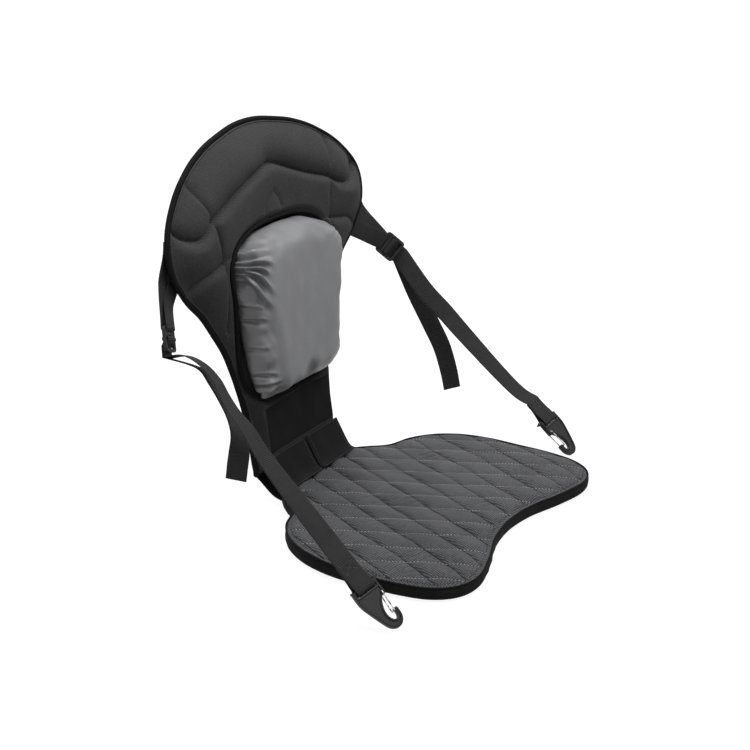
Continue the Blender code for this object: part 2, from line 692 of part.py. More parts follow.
def plate(name, frame, loops, thickness, chamfer, material_name, parent=None):
    """A flat plate with holes and chamfered edges: its first loop is the outline, in the frame's x and y."""
    points, faces, caps = [], [], ([], [])
    half = thickness / 2
    for k, loop in enumerate(loops):
        loop = [Vector(p) for p in loop]
        area = sum(a.x * b.y - b.x * a.y for a, b in zip(loop, loop[1:] + loop[:1]))
        if area < 0:
            loop.reverse()
        tight = inset(loop, chamfer if k == 0 else -chamfer)
        start, count = len(points), len(loop)
        for ring, z in ((tight, -half), (loop, -half + chamfer), (loop, half - chamfer), (tight, half)):
            points += [frame @ Vector((p.x, p.y, z)) for p in ring]
        for r in range(3):
            for i in range(count):
                j = (i + 1) % count
                a = start + r * count
                faces.append((a + i, a + j, a + count + j, a + count + i))
        for cap, row in zip(caps, (0, 3)):
            cap.append((start + row * count, [Vector((p.x, p.y, 0.0)) for p in tight]))
    for cap in caps:
        index = [first + i for first, ring in cap for i in range(len(ring))]
        faces += [tuple(index[k] for k in tri) for tri in tessellate_polygon([ring for _, ring in cap])]
    return add_node(name, points, faces, material_name, parent)


def frame_from(origin, along, turn, sign):
    """A frame whose y runs along a direction and whose x points across, toward the pad, before the turn."""
    y = Vector(along).normalized()
    inward = Vector((-sign, 0.0, 0.0))
    x = (inward - inward.dot(y) * y).normalized()
    x = Matrix.Rotation(math.radians(turn), 3, y) @ x
    z = x.cross(y)
    found = Matrix((x, y, z)).transposed().to_4x4()
    found.translation = origin
    return found


def webbing_sections(path, widths):
    """Rectangular sections along a centre line, with the width direction given at each point."""
    sections = []
    for i, (here, wide) in enumerate(zip(path, widths)):
        along = (path[min(i + 1, len(path) - 1)] - path[max(i - 1, 0)]).normalized()
        wide = (wide - wide.dot(along) * along).normalized()
        thick = along.cross(wide) * WEBBING_THICKNESS / 2
        wide = wide * WEBBING_WIDTH / 2
        sections.append([here - wide - thick, here + wide - thick, here + wide + thick, here - wide + thick])
    return sections


def arc(frame, centre_y, radius, start, end, steps):
    """Points of an arc about a bar across the frame, angles in degrees from +y toward +z."""
    found = []
    for k in range(steps + 1):
        a = math.radians(start + (end - start) * k / steps)
        found.append(frame @ Vector((0.0, centre_y + radius * math.cos(a), radius * math.sin(a))))
    return found


def smooth_run(points, steps):
    return catmull(points, steps, False)


def turned_widths(path, start, end, held=0.0):
    """Width directions that change evenly from one to another along a path, after a length that keeps the first."""
    reach = [0.0]
    for a, b in zip(path, path[1:]):
        reach.append(reach[-1] + (b - a).length)
    return [start.lerp(end, smoothstep((r - held) / (reach[-1] - held))).normalized() for r in reach]


BUCKLE_WRAP = BUCKLE_BAR / 2 + WEBBING_THICKNESS / 2 + CLEARANCE + 0.0006
HOOK_WRAP = HOOK_THICKNESS / 2 + WEBBING_THICKNESS / 2 + CLEARANCE + 0.0006
BUCKLE_LENGTH = 2 * BUCKLE_PITCH + BUCKLE_BAR


def buckle_loops():
    half_w, half_l = BUCKLE_WIDTH / 2, BUCKLE_LENGTH / 2
    corner = 0.003
    outline = [(-half_w + corner, -half_l), (half_w - corner, -half_l), (half_w, -half_l + corner),
               (half_w, half_l - corner), (half_w - corner, half_l), (-half_w + corner, half_l),
               (-half_w, half_l - corner), (-half_w, -half_l + corner)]
    slot_w = WEBBING_WIDTH / 2 + 0.0007
    loops = [outline]
    for middle in (-BUCKLE_PITCH / 2, BUCKLE_PITCH / 2):
        low, high = middle - (BUCKLE_PITCH - BUCKLE_BAR) / 2, middle + (BUCKLE_PITCH - BUCKLE_BAR) / 2
        loops.append([(-slot_w, low), (slot_w, low), (slot_w, high), (-slot_w, high)])
    return loops


def side_set(side, spec):
    """One side's yoke, buckle, adjuster, hook and gate."""
    sign = spec["sign"]

    def place(p):
        return Vector((sign * p[0], p[1], p[2]))

    buckle = frame_from(place(spec["buckle_at"]), place(spec["buckle_axis"]), sign * spec["buckle_turn"], sign)
    hook = frame_from(place(spec["hook_at"]), place(spec["hook_axis"]), sign * spec["hook_turn"], sign)
    plate("ladder_buckle_" + side, buckle, buckle_loops(), BUCKLE_THICKNESS, PLATE_CHAMFER, "moulded_nylon")

    # The side of the buckle that faces down and back takes the loose tail
    under = 1.0 if (buckle.to_3x3() @ Vector((0, 0, 1))).z < 0 else -1.0
    if abs((buckle.to_3x3() @ Vector((0, 0, 1))).z) < 0.4:
        under = 1.0 if (buckle.to_3x3() @ Vector((0, 0, 1))).y > 0 else -1.0
    hook_under = 1.0 if (hook.to_3x3() @ Vector((0, 0, 1))).z < 0 else -1.0
    buckle_wide = buckle.to_3x3() @ Vector((1, 0, 0))
    hook_wide = hook.to_3x3() @ Vector((1, 0, 0))

    # The adjuster: sewn end, round the hook's bar, up to the buckle, over its middle bar, and the tail
    bar = -HOOK_BAR_SETBACK
    fold = WEBBING_THICKNESS + CLEARANCE * 1.5
    loop_end = [Vector((0.0, bar - SEWN_LOOP, 0.0)), Vector((0.0, bar - SEWN_LOOP * 0.7, 0.0)),
                Vector((0.0, bar - SEWN_LOOP * 0.45, hook_under * HOOK_WRAP * 0.25))]
    sewn = [hook @ p for p in loop_end] + arc(hook, bar, HOOK_WRAP, 90 * hook_under + 25 * hook_under,
                                              90 * hook_under, 1)[:-1]
    round_bar = arc(hook, bar, HOOK_WRAP, 90 * hook_under, -90 * hook_under, 8)
    rise = [hook @ Vector((0.0, bar - SEWN_LOOP * share, -hook_under * (HOOK_WRAP * (1 - t) + fold * t)))
            for share, t in ((0.25, 0.35), (0.45, 0.78), (0.7, 1.0), (1.0, 1.0))]
    run = smooth_run([rise[-1]] + [place(p) for p in reversed(spec["main"])]
                     + [buckle @ Vector((0.0, BUCKLE_PITCH + 0.0075, under * (BUCKLE_THICKNESS / 2 + 0.0016)))], 4)[1:]
    near = BUCKLE_THICKNESS / 2 + WEBBING_THICKNESS / 2 + CLEARANCE * 2
    enter = [buckle @ Vector((0.0, y, under * z)) for y, z in
             ((BUCKLE_PITCH + 0.0035, near), (BUCKLE_PITCH - 0.0030, near), (BUCKLE_PITCH * 0.5 + 0.0010, near * 0.45))]
    over = arc(buckle, 0.0, BUCKLE_WRAP, -under * 40, -under * 320, 9)
    leave = [buckle @ Vector((0.0, y, under * z)) for y, z in
             ((BUCKLE_PITCH * 0.62, near + fold * 1.02), (BUCKLE_PITCH, near + fold * 1.1),
              (BUCKLE_PITCH + 0.0080, near + fold * 1.25))]
    tail = smooth_run([leave[-1]] + [place(p) for p in spec["tail"]], 3)[1:]
    path = sewn + round_bar + rise + run + enter + over + leave + tail
    tail_wide = Matrix.Rotation(math.radians(spec["tail_turn"]) * sign, 3, Vector((0, 0, 1))) @ buckle_wide
    widths = ([hook_wide] * (len(sewn) + len(round_bar) + len(rise)) + turned_widths(run, hook_wide, buckle_wide)
              + [buckle_wide] * (len(enter) + len(over) + len(leave))
              + turned_widths(tail, buckle_wide, tail_wide, spec["tail_held"]))
    add_node("adjuster_strap_" + side, *open_sweep(webbing_sections(path, widths)), "black_webbing")

    # The yoke: sewn behind the rim, through the buckle's top bar, and back to the rim
    top_bar = -BUCKLE_PITCH
    top = buckle @ Vector((0.0, top_bar, 0.0))
    legs = []
    for k, (x, v) in enumerate(spec["yoke_legs"]):
        flat = rear_face - CLEARANCE * 2 - WEBBING_THICKNESS / 2
        layer = flat - BINDING_LAP - CLEARANCE * 3 - (0 if k else WEBBING_THICKNESS + CLEARANCE * 2)
        rim = Vector((sign * x, v))
        along = (rim - Vector((top.x, top.z / math.cos(BACK_RECLINE)))).normalized()
        line = [face_point(p.x, p.y, d) for p, d in
                ((rim + along * YOKE_SEWN_LENGTH, flat), (rim + along * YOKE_SEWN_LENGTH * 0.6, flat), (rim, layer))]
        clear = rim - along * YOKE_CLEAR
        line.append(face_point(clear.x, clear.y, layer + 0.0005))
        wide = Vector((along.y, -along.x)) if along.y * sign > 0 else Vector((-along.y, along.x))
        slope = Vector((1.0, 0.0, 0.0)) + FORWARD * 2 * BACK_WRAP * rim.x
        legs.append((line, (slope * wide.x + UP_FACE * wide.y).normalized()))
    wrap = arc(buckle, top_bar, BUCKLE_WRAP, 180 - under * 75, 180 - under * 285, 8)
    bar_wide = -buckle_wide
    upper = smooth_run(legs[0][0] + [wrap[0]], 2)
    lower = smooth_run([wrap[-1]] + legs[1][0][::-1], 2)
    path = upper + wrap[1:-1] + lower
    held = YOKE_SEWN_LENGTH + YOKE_CLEAR
    widths = (turned_widths(upper, legs[0][1], bar_wide, held) + [bar_wide] * (len(wrap) - 2)
              + turned_widths(lower[::-1], legs[1][1], bar_wide, held)[::-1])
    add_node("yoke_strap_" + side, *open_sweep(webbing_sections(path, widths)), "black_webbing")

    # The hook swings about its bar and carries the gate, which swings about its pivot
    hook_axis = bpy.data.objects.new("hook_swing_axis_" + side, None)
    hook_axis.location = hook @ Vector((0.0, bar, 0.0))
    bpy.context.scene.collection.objects.link(hook_axis)
    bpy.context.view_layer.update()
    bore = GATE_WIRE_RADIUS + GATE_BORE_PLAY
    bore_loop = [(GATE_PIVOT[0] + bore * math.cos(2 * math.pi * k / 10), GATE_PIVOT[1] + bore * math.sin(2 * math.pi * k / 10))
                 for k in range(10)]
    outline = [(x / 1000, y / 1000) for x, y in HOOK_OUTLINE_MM]
    slot = [(x / 1000, y / 1000) for x, y in HOOK_SLOT_MM]
    plate("snap_hook_" + side, hook, [outline, slot, bore_loop], HOOK_THICKNESS, PLATE_CHAMFER, "moulded_nylon", hook_axis)

    gate_axis = bpy.data.objects.new("gate_axis_" + side, None)
    gate_axis.location = hook @ Vector((*GATE_PIVOT, 0.0))
    bpy.context.scene.collection.objects.link(gate_axis)
    bpy.context.view_layer.update()
    reach = HOOK_THICKNESS / 2 + CLEARANCE + GATE_WIRE_RADIUS
    pin = HOOK_THICKNESS / 2 - 0.0015
    px, py = GATE_PIVOT
    ex, ey = GATE_END
    turn = 0.0016
    half = [(px, py, pin), (px, py, reach - turn), (px - 0.1 * turn, py + 0.3 * turn, reach - 0.3 * turn),
            (px - 0.3 * turn, py + turn, reach), (ex + 0.2 * turn, ey - turn, reach),
            (ex, ey - 0.3 * turn, reach - 0.3 * turn), (ex, ey, reach - turn), (ex, ey, 0.0)]
    wire = [hook @ Vector(p) for p in half] + [hook @ Vector((x, y, -z)) for x, y, z in reversed(half[:-1])]
    sections = []
    for i, here in enumerate(wire):
        along = (wire[min(i + 1, len(wire) - 1)] - wire[max(i - 1, 0)]).normalized()
        level = hook.to_3x3() @ Vector((1, 0, 0))
        level = (level - level.dot(along) * along).normalized()
        sections.append(round_section(here, level, along.cross(level), GATE_WIRE_RADIUS, 6))
    add_node("hook_gate_" + side, *open_sweep(sections), "stainless_wire", gate_axis)


for side_name, side_spec in SIDES.items():
    side_set(side_name, side_spec)
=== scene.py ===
# %% [markdown]
# # A kayak seat, dressed
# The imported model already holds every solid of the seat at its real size. This lesson gives
# those solids their cloth, thread, foam, webbing and plastic. Lengths are in metres, the sitter
# faces -Y, and the near side in the picture is -X, called left here.

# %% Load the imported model
import math

import bmesh
import bpy
import numpy as np
from mathutils import Matrix, Vector
from mathutils.geometry import tessellate_polygon


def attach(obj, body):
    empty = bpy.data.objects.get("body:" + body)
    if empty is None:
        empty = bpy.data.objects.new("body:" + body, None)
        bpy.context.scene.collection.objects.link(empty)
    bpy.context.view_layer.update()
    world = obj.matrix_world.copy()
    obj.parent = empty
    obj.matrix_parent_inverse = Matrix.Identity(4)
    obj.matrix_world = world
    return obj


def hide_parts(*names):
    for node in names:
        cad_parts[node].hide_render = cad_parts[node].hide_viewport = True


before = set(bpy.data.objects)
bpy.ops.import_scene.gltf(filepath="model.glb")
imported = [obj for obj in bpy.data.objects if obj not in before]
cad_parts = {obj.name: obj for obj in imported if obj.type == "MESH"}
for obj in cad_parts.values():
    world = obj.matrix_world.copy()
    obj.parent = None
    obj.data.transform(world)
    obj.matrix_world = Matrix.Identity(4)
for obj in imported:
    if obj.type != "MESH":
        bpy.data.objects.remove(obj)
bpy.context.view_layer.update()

print("pieces in the frame:", len(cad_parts))

# %% [markdown]
# ## Camera, floor and light
# The picture was taken with a long lens from the front left, a little above the seat. A camera
# that stands at the same place gives the same outline, so it is placed by its azimuth and
# elevation and not by eye. The background is white because camera rays see plain white there.
# The lamps don't make it white, so they can stay at a level at which cloth keeps its own colour.

# %% The camera
CAMERA_AT = (-1.6172, -0.8835, 0.8923)
CAMERA_AZIMUTH = math.radians(-59.5)
CAMERA_ELEVATION = math.radians(21.0)
CAMERA_LENS = 76.8

photo_camera = bpy.data.objects.new("photo_camera", bpy.data.cameras.new("photo_camera"))
photo_camera.data.sensor_width = 36.0
photo_camera.data.lens = CAMERA_LENS
photo_camera.location = CAMERA_AT
toward_camera = Vector((math.sin(CAMERA_AZIMUTH) * math.cos(CAMERA_ELEVATION),
                        -math.cos(CAMERA_AZIMUTH) * math.cos(CAMERA_ELEVATION),
                        math.sin(CAMERA_ELEVATION)))
photo_camera.rotation_mode = "QUATERNION"
photo_camera.rotation_quaternion = (-toward_camera).to_track_quat("-Z", "Y")
bpy.context.scene.collection.objects.link(photo_camera)
bpy.context.scene.camera = photo_camera
bpy.context.scene.view_settings.view_transform = "Standard"
print("camera looks along", [round(c, 3) for c in -toward_camera])

# %% [markdown]
# ## Shader arithmetic
# A weave or a worn edge is a sum of simple waves and noises. Wiring each sum by hand hides the
# idea, so `Wire` holds one socket and lets Python's own operators add the Math nodes.


# %% A wire
class Wire:
    """One socket of a shader graph, used as a number."""

    def __init__(self, board, socket):
        self.board, self.socket = board, socket

    def math(self, operation, *others):
        values = dict(enumerate((self, *others)))
        return self.board.node("ShaderNodeMath", {"operation": operation}, values)

    def __add__(self, other):
        return self.math("ADD", other)

    __radd__ = __add__

    def __mul__(self, other):
        return self.math("MULTIPLY", other)

    __rmul__ = __mul__

    def __sub__(self, other):
        return self.math("SUBTRACT", other)

    def __rsub__(self, other):
        return (self * -1.0) + other

    def wave(self, pitch):
        """A sine that repeats every pitch, from 0 to 1."""
        return (self * (2 * math.pi / pitch)).math("SINE") * 0.5 + 0.5


print("wire ready")

# %% [markdown]
# Every other node comes from `Board.node`, which first sets the node's settings, such as a ramp's
# stops, and then its sockets. The short methods below it are the few nodes that cloth needs.


# %% A board of nodes
class Board:
    """The nodes of one material."""

    def __init__(self, tree):
        self.tree = tree

    def node(self, kind, settings=None, values=None, output=0):
        made = self.tree.nodes.new(kind)
        for key, value in (settings or {}).items():
            if key == "stops":
                ramp = made.color_ramp
                for stop, (place, shade) in zip(range(len(value)), value):
                    point = ramp.elements[stop] if stop < 2 else ramp.elements.new(place)
                    point.position, point.color = place, (shade, shade, shade, 1.0)
            else:
                setattr(made, key, value)
        for key, value in (values or {}).items():
            if isinstance(value, Wire):
                self.tree.links.new(value.socket, made.inputs[key])
            else:
                made.inputs[key].default_value = value
        return Wire(self, made.outputs[output])

    def place(self, *axes):
        """The surface point's coordinates in the row frame."""
        spot = self.node("ShaderNodeTexCoord", output="Object")
        return [self.node("ShaderNodeSeparateXYZ", values={0: spot}, output=axis) for axis in axes]

    def along_cloth(self):
        """Distance across and along a strip of webbing or tape, in metres."""
        spot = self.node("ShaderNodeUVMap", {"uv_map": "strip"})
        return [self.node("ShaderNodeSeparateXYZ", values={0: spot}, output=axis) for axis in "XY"]

    def noise(self, scale, detail=3.0):
        spot = self.node("ShaderNodeTexCoord", output="Object")
        return self.node("ShaderNodeTexNoise", values={"Vector": spot, "Scale": scale,
                                                       "Detail": detail, "Roughness": 0.55})

    def ramp(self, wire, *stops):
        return self.node("ShaderNodeValToRGB", {"stops": stops}, {0: wire})

    def tint(self, mask, dark, light):
        """A colour between two colours, by a mask."""
        return self.node("ShaderNodeMix", {"data_type": "RGBA"},
                         {0: mask, 6: (*dark, 1.0), 7: (*light, 1.0)}, output=2)

    def bump(self, height, distance, strength=1.0):
        return self.node("ShaderNodeBump",
                         values={"Height": height, "Distance": distance, "Strength": strength})


print("board ready")

# %% [markdown]
# A finish is a board with a Principled shader. What is the same all over goes straight onto the
# shader's own sockets, and only what varies over the surface is linked.


# %% A finish
class Finish(Board):
    """A new material, with its constant values on the shader's own sockets."""

    def __init__(self, name, **constants):
        self.material = bpy.data.materials.new(name)
        self.material.use_nodes = True
        super().__init__(self.material.node_tree)
        for key, value in constants.items():
            self.socket(key).default_value = (*value, 1.0) if isinstance(value, tuple) else value

    def socket(self, key):
        shader = self.tree.nodes["Principled BSDF"]
        return shader.inputs[key.replace("_", " ").title().replace("Ior", "IOR")]

    def feed(self, **wires):
        """Links the values that vary over the surface."""
        for key, wire in wires.items():
            self.tree.links.new(wire.socket, self.socket(key))


print("finish ready")

# %% [markdown]
# ## Floor and lamps
# The picture's light comes from above and a little from the front right: the pillow's shoulder is
# bright, its foot is dark, and the near side is the darkest. Two large lamps give that. A weak one
# on the near side keeps the black cloth from sinking into one flat shape, and one behind the seat
# does the same for its rear.


# %% Floor, world and lamps
FLOOR_BELOW = 0.0008
FLOOR_HALF = 6.0
FLOOR_GLOW = 0.90
WORLD_LIGHT = 0.22
LAMPS_AIM = Vector((0.0, 0.0, 0.2))
WHITE = (1.0, 1.0, 1.0)
LAMPS = {
    "key_lamp": ((0.5, -1.3, 2.8), 1.5, 44.0),
    "top_lamp": ((0.1, 0.2, 2.6), 1.6, 34.0),
    "near_lamp": ((-2.2, -0.6, 1.6), 1.4, 6.0),
    "rear_lamp": ((0.9, 2.6, 1.5), 1.8, 24.0),
}


def seen_directly(board):
    """1 for the rays that should meet a white studio, 0 for those that carry light to the seat."""
    rays = [board.node("ShaderNodeLightPath", output=ray)
            for ray in ("Is Camera Ray", "Is Glossy Ray", "Is Transmission Ray")]
    return rays[0].math("MAXIMUM", rays[1]).math("MAXIMUM", rays[2])


floor_corners = [(x * FLOOR_HALF, y * FLOOR_HALF, -FLOOR_BELOW)
                 for x, y in ((-1, -1), (1, -1), (1, 1), (-1, 1))]
floor_mesh = bpy.data.meshes.new("floor")
floor_mesh.from_pydata(floor_corners, [], [(0, 1, 2, 3)])
floor = bpy.data.objects.new("floor", floor_mesh)
bpy.context.scene.collection.objects.link(floor)
paper = Finish("pale_paper", base_color=(0.22, 0.22, 0.22), roughness=0.9, emission_strength=FLOOR_GLOW)
paper.feed(emission_color=paper.tint(seen_directly(paper), (0.0, 0.0, 0.0), WHITE))
floor_mesh.materials.append(paper.material)

world = bpy.data.worlds.new("studio")
bpy.context.scene.world = world
world.use_nodes = True
backdrop = world.node_tree.nodes["Background"]
backdrop.inputs["Color"].default_value = (*WHITE, 1.0)
strength = seen_directly(Board(world.node_tree)) * (1.0 - WORLD_LIGHT) + WORLD_LIGHT
world.node_tree.links.new(strength.socket, backdrop.inputs["Strength"])

for name, (spot, side, power) in LAMPS.items():
    lamp = bpy.data.lights.new(name, "AREA")
    lamp.shape, lamp.size, lamp.energy = "SQUARE", side, power
    stand = bpy.data.objects.new(name, lamp)
    stand.location = spot
    stand.rotation_mode = "QUATERNION"
    stand.rotation_quaternion = (LAMPS_AIM - Vector(spot)).to_track_quat("-Z", "Y")
    bpy.context.scene.collection.objects.link(stand)
print("lamps:", len(LAMPS))

# %% [markdown]
# ## Finishes
# Each cloth on the seat is woven or knitted differently, and that is what tells them apart, since
# all of them are close to black. The top cloth has a fine basket weave. Plain cloth, foam and the
# stiff sheet share one recipe: a weave or grain as a bump, and a tone between two dark colours.


# %% Quilted and plain cloth
FINISH = {}


def basket_weave(a, b, pitch):
    """Threads that pass over and under each other, as a height from 0 to 1."""
    return (a.wave(pitch) - 0.5) * (b.wave(pitch) - 0.5) * 2.0 + 0.5


def quilted_top_finish():
    cloth = Finish("quilted_top_cloth", roughness=0.58, specular_ior_level=0.22)
    across, deep = cloth.place("X", "Y")
    weave = basket_weave(across * 0.86 + deep * 0.5, deep * 0.86 - across * 0.5, 0.0034)
    cloud = cloth.noise(26.0)
    tone = weave * 1.20 + cloud * 0.50 + cloth.noise(330.0, 1.0) * 0.70 - 0.77
    cloth.feed(base_color=cloth.tint(tone, (0.010, 0.010, 0.0108), (0.138, 0.139, 0.145)),
               normal=cloth.bump(weave + cloud * 0.6, 0.00065))
    FINISH["quilted_top_cloth"] = cloth.material


def plain_cloth_finish(name, dark, light, pitch=0.0016, roughness=0.85, axes="XZ", depth=0.00025):
    cloth = Finish(name, roughness=roughness, specular_ior_level=0.06)
    a, b = cloth.place(*axes)
    weave = basket_weave(a + b, a - b, pitch)
    cloth.feed(base_color=cloth.tint(weave * 0.4 + cloth.noise(40.0) * 0.6, dark, light),
               normal=cloth.bump(weave, depth, 0.6))
    FINISH[name] = cloth.material


quilted_top_finish()
plain_cloth_finish("black_cloth", (0.006, 0.006, 0.0062), (0.024, 0.024, 0.0250))
plain_cloth_finish("pad_base_cloth", (0.008, 0.0077, 0.0074), (0.028, 0.0273, 0.0266), axes="XY")
plain_cloth_finish("rear_cloth", (0.014, 0.014, 0.0147), (0.046, 0.046, 0.048), 0.0022, depth=0.00045)
plain_cloth_finish("closed_cell_foam", (0.030, 0.030, 0.032), (0.055, 0.055, 0.058), 0.0006, 0.95, "XY")
plain_cloth_finish("plastic_sheet", (0.014, 0.014, 0.015), (0.026, 0.026, 0.028), 0.0020, 0.5)
print("plain finishes:", len(FINISH))

# %% [markdown]
# The moulded front is a matte knit whose loops lean from row to row. Its colour is darkened toward
# its foot, which paints shade there. The pillow is a coated nylon with a satin sheen, so its
# roughness varies in clouds as well as its colour.


# %% Knit and coated nylon
def knit_finish():
    knit = Finish("moulded_knit", roughness=0.90, specular_ior_level=0.10, sheen_weight=0.04,
                  sheen_roughness=0.5)
    across, high = knit.place("X", "Z")
    loops = across.wave(0.0017) * (high + across.wave(0.0017) * 0.0004).wave(0.0021)
    tone = knit.noise(14.0) * 0.50 + loops * 0.40 + knit.noise(420.0, 1.0) * 0.50 - 0.20
    # Painted shade: the colour is darkened toward the foot of the face.
    tone = tone * (high * 4.0 + 0.25).math("MINIMUM", 1.0)
    knit.feed(base_color=knit.tint(tone, (0.026, 0.026, 0.0265), (0.086, 0.086, 0.088)),
              normal=knit.bump(loops + knit.noise(900.0, 1.0) * 0.5, 0.00024, 0.8))
    FINISH["moulded_knit"] = knit.material


def coated_nylon_finish():
    nylon = Finish("coated_nylon", roughness=0.38, specular_ior_level=0.5)
    across, high = nylon.place("X", "Z")
    weave = basket_weave(across, high, 0.0014)
    cloud = nylon.noise(18.0)
    tone = cloud * 0.6 + weave * 0.2 + nylon.noise(300.0, 1.0) * 0.2
    nylon.feed(base_color=nylon.tint(tone, (0.135, 0.136, 0.141), (0.285, 0.287, 0.296)),
               roughness=nylon.ramp(cloud, (0.3, 0.34), (0.7, 0.48)),
               normal=nylon.bump(weave * 0.25 + nylon.noise(70.0, 4.0), 0.0007, 0.5))
    FINISH["coated_nylon"] = nylon.material


knit_finish()
coated_nylon_finish()
print("with knit and nylon:", len(FINISH))

# %% [markdown]
# Webbing and tape have ribs across their length, so their finish follows the strip's own
# coordinates and turns where the strip turns. Thread is too fine for ribs and gets a fine noise.


# %% Webbing, tape and thread
def webbing_finish():
    webbing = Finish("black_webbing", roughness=0.62, specular_ior_level=0.14)
    across, along = webbing.along_cloth()
    height = (along + across.math("ABSOLUTE") * 0.12).wave(0.0021) * 0.7 + across.wave(0.0017) * 0.3
    tone = height * 0.75 + webbing.noise(60.0) * 0.35
    webbing.feed(base_color=webbing.tint(tone, (0.0025, 0.0025, 0.0027), (0.042, 0.042, 0.0437)),
                 normal=webbing.bump(height, 0.0006))
    FINISH["black_webbing"] = webbing.material


def tape_finish(name, dark, light):
    tape = Finish(name, roughness=0.80, specular_ior_level=0.06)
    ribs = tape.along_cloth()[1].wave(0.0016)
    tape.feed(base_color=tape.tint(ribs * 0.4 + tape.noise(50.0) * 0.6, dark, light),
              normal=tape.bump(ribs, 0.0003, 0.8))
    FINISH[name] = tape.material


def thread_finish(name, dark, light):
    thread = Finish(name, roughness=0.6, specular_ior_level=0.3)
    thread.feed(base_color=thread.tint(thread.noise(220.0, 2.0), dark, light),
                normal=thread.bump(thread.noise(1500.0, 1.0), 0.0002))
    FINISH[name] = thread.material


webbing_finish()
tape_finish("piping", (0.004, 0.004, 0.0042), (0.016, 0.016, 0.0168))
# Painted highlight: the backrest's front piping is coloured paler for the light line along it.
tape_finish("pale_piping", (0.030, 0.030, 0.031), (0.105, 0.105, 0.108))
thread_finish("grey_thread", (0.045, 0.045, 0.046), (0.11, 0.11, 0.112))
thread_finish("pale_thread", (0.22, 0.22, 0.222), (0.46, 0.46, 0.467))
# Near-black thread, which on the tight quilting seams also paints the shade of their grooves.
thread_finish("black_thread", (0.002, 0.002, 0.0022), (0.009, 0.009, 0.0094))
print("with webbing and thread:", len(FINISH))

# %% [markdown]
# The buckles and hooks are moulded nylon with a fine grain. The gates are stainless wire: bright
# and dark patches along it stand for the room that a thin wire mirrors.


# %% Moulded nylon and wire
def moulded_nylon_finish():
    nylon = Finish("moulded_nylon", roughness=0.46, specular_ior_level=0.22)
    cloud = nylon.noise(60.0)
    nylon.feed(base_color=nylon.tint(cloud, (0.008, 0.008, 0.0084), (0.024, 0.024, 0.0251)),
               roughness=nylon.ramp(cloud, (0.3, 0.38), (0.75, 0.54)),
               normal=nylon.bump(nylon.noise(900.0, 2.0), 0.00012, 0.5))
    FINISH["moulded_nylon"] = nylon.material


def wire_finish():
    wire = Finish("stainless_wire", metallic=1.0)
    drawn = wire.noise(500.0, 2.0)
    bright = wire.ramp(wire.noise(260.0, 1.0), (0.40, 0.0), (0.58, 1.0))
    wire.feed(base_color=wire.tint(bright, (0.11, 0.11, 0.112), (0.58, 0.58, 0.59)),
              roughness=wire.ramp(drawn, (0.3, 0.16), (0.7, 0.34)),
              normal=wire.bump(drawn, 0.00005, 0.4))
    FINISH["stainless_wire"] = wire.material


moulded_nylon_finish()
wire_finish()
print("finishes:", len(FINISH))

# %% [markdown]
# ## Curves and strips
# The seat is a set of outlines drawn in two dimensions: the pad's, the backrest's and the recess's.
# A smooth curve goes through a few points of each, and strips, cords and cloth follow it.


# %% Smooth lines
def catmull(points, steps, closed):
    """Points on a smooth curve through the given ones."""
    count = len(points)
    path = [Vector(p) for p in points]

    def at(i):
        return path[i % count] if closed else path[min(max(i, 0), count - 1)]

    found = []
    for i in range(count if closed else count - 1):
        a, b, c, d = at(i - 1), at(i), at(i + 1), at(i + 2)
        for k in range(steps):
            t = k / steps
            found.append(0.5 * ((2 * b) + (c - a) * t + (2 * a - 5 * b + 4 * c - d) * t * t
                                + (3 * b - a - 3 * c + d) * t ** 3))
    if not closed:
        found.append(path[-1])
    return found


def reaches(line):
    """The distance along a line at each of its points."""
    found = [0.0]
    for a, b in zip(line, line[1:]):
        found.append(found[-1] + (b - a).length)
    return found


def resample(path, count, closed):
    """The same line with evenly spaced points."""
    line = list(path) + ([path[0]] if closed else [])
    reach = reaches(line)
    spots, k = [], 0
    for i in range(count):
        target = reach[-1] * i / (count if closed else count - 1)
        while k < len(line) - 2 and reach[k + 1] < target:
            k += 1
        span = max(reach[k + 1] - reach[k], 1e-12)
        spots.append(line[k].lerp(line[k + 1], min((target - reach[k]) / span, 1.0)))
    return spots


def mirrored(half):
    """A closed outline from its +X half, given from the middle of one end to the other."""
    return list(half) + [(-x, y) for x, y in reversed(half[1:-1])]


def turn_of(loop):
    """1 for a loop that runs against the clock, -1 for one that runs with it."""
    return 1.0 if sum(a.x * b.y - b.x * a.y for a, b in zip(loop, loop[1:] + loop[:1])) > 0 else -1.0


def inset(loop, distance):
    """A closed 2-D loop moved inward by a distance, along its own normals."""
    count, turn, found = len(loop), turn_of(loop), []
    for i in range(count):
        before = (loop[i] - loop[i - 1]).normalized()
        after = (loop[(i + 1) % count] - loop[i]).normalized()
        along = (before + after).normalized()
        across = Vector((-along.y, along.x)) * turn
        found.append(loop[i] + across * distance / max(along.dot(after), 0.5))
    return found


print("line helpers ready")

# %% [markdown]
# Quilting, moulded channels and folds are all heights that depend on how far a point is from some
# line. These helpers work on whole arrays at once, because a cloth has tens of thousands of points.


# %% Distances and noise
def smoothstep(t):
    """0 below 0, 1 above 1, and a soft ramp between."""
    t = np.clip(t, 0.0, 1.0)
    return t * t * (3 - 2 * t)


def away_from(line, x, y, closed=False):
    """Each point's shortest distance to a polyline, and the nearest stretch of it."""
    line = np.array([tuple(p)[:2] for p in line])
    if closed:
        line = np.vstack([line, line[:1]])
    best = np.full(np.shape(x), 1e9)
    stretch = np.zeros(np.shape(x), np.int32)
    for k, ((ax, ay), (bx, by)) in enumerate(zip(line, line[1:])):
        dx, dy = bx - ax, by - ay
        t = np.clip(((x - ax) * dx + (y - ay) * dy) / (dx * dx + dy * dy + 1e-18), 0, 1)
        away = (x - ax - t * dx) ** 2 + (y - ay - t * dy) ** 2
        nearer = away < best
        stretch[nearer] = k
        best = np.minimum(best, away)
    return np.sqrt(best), stretch


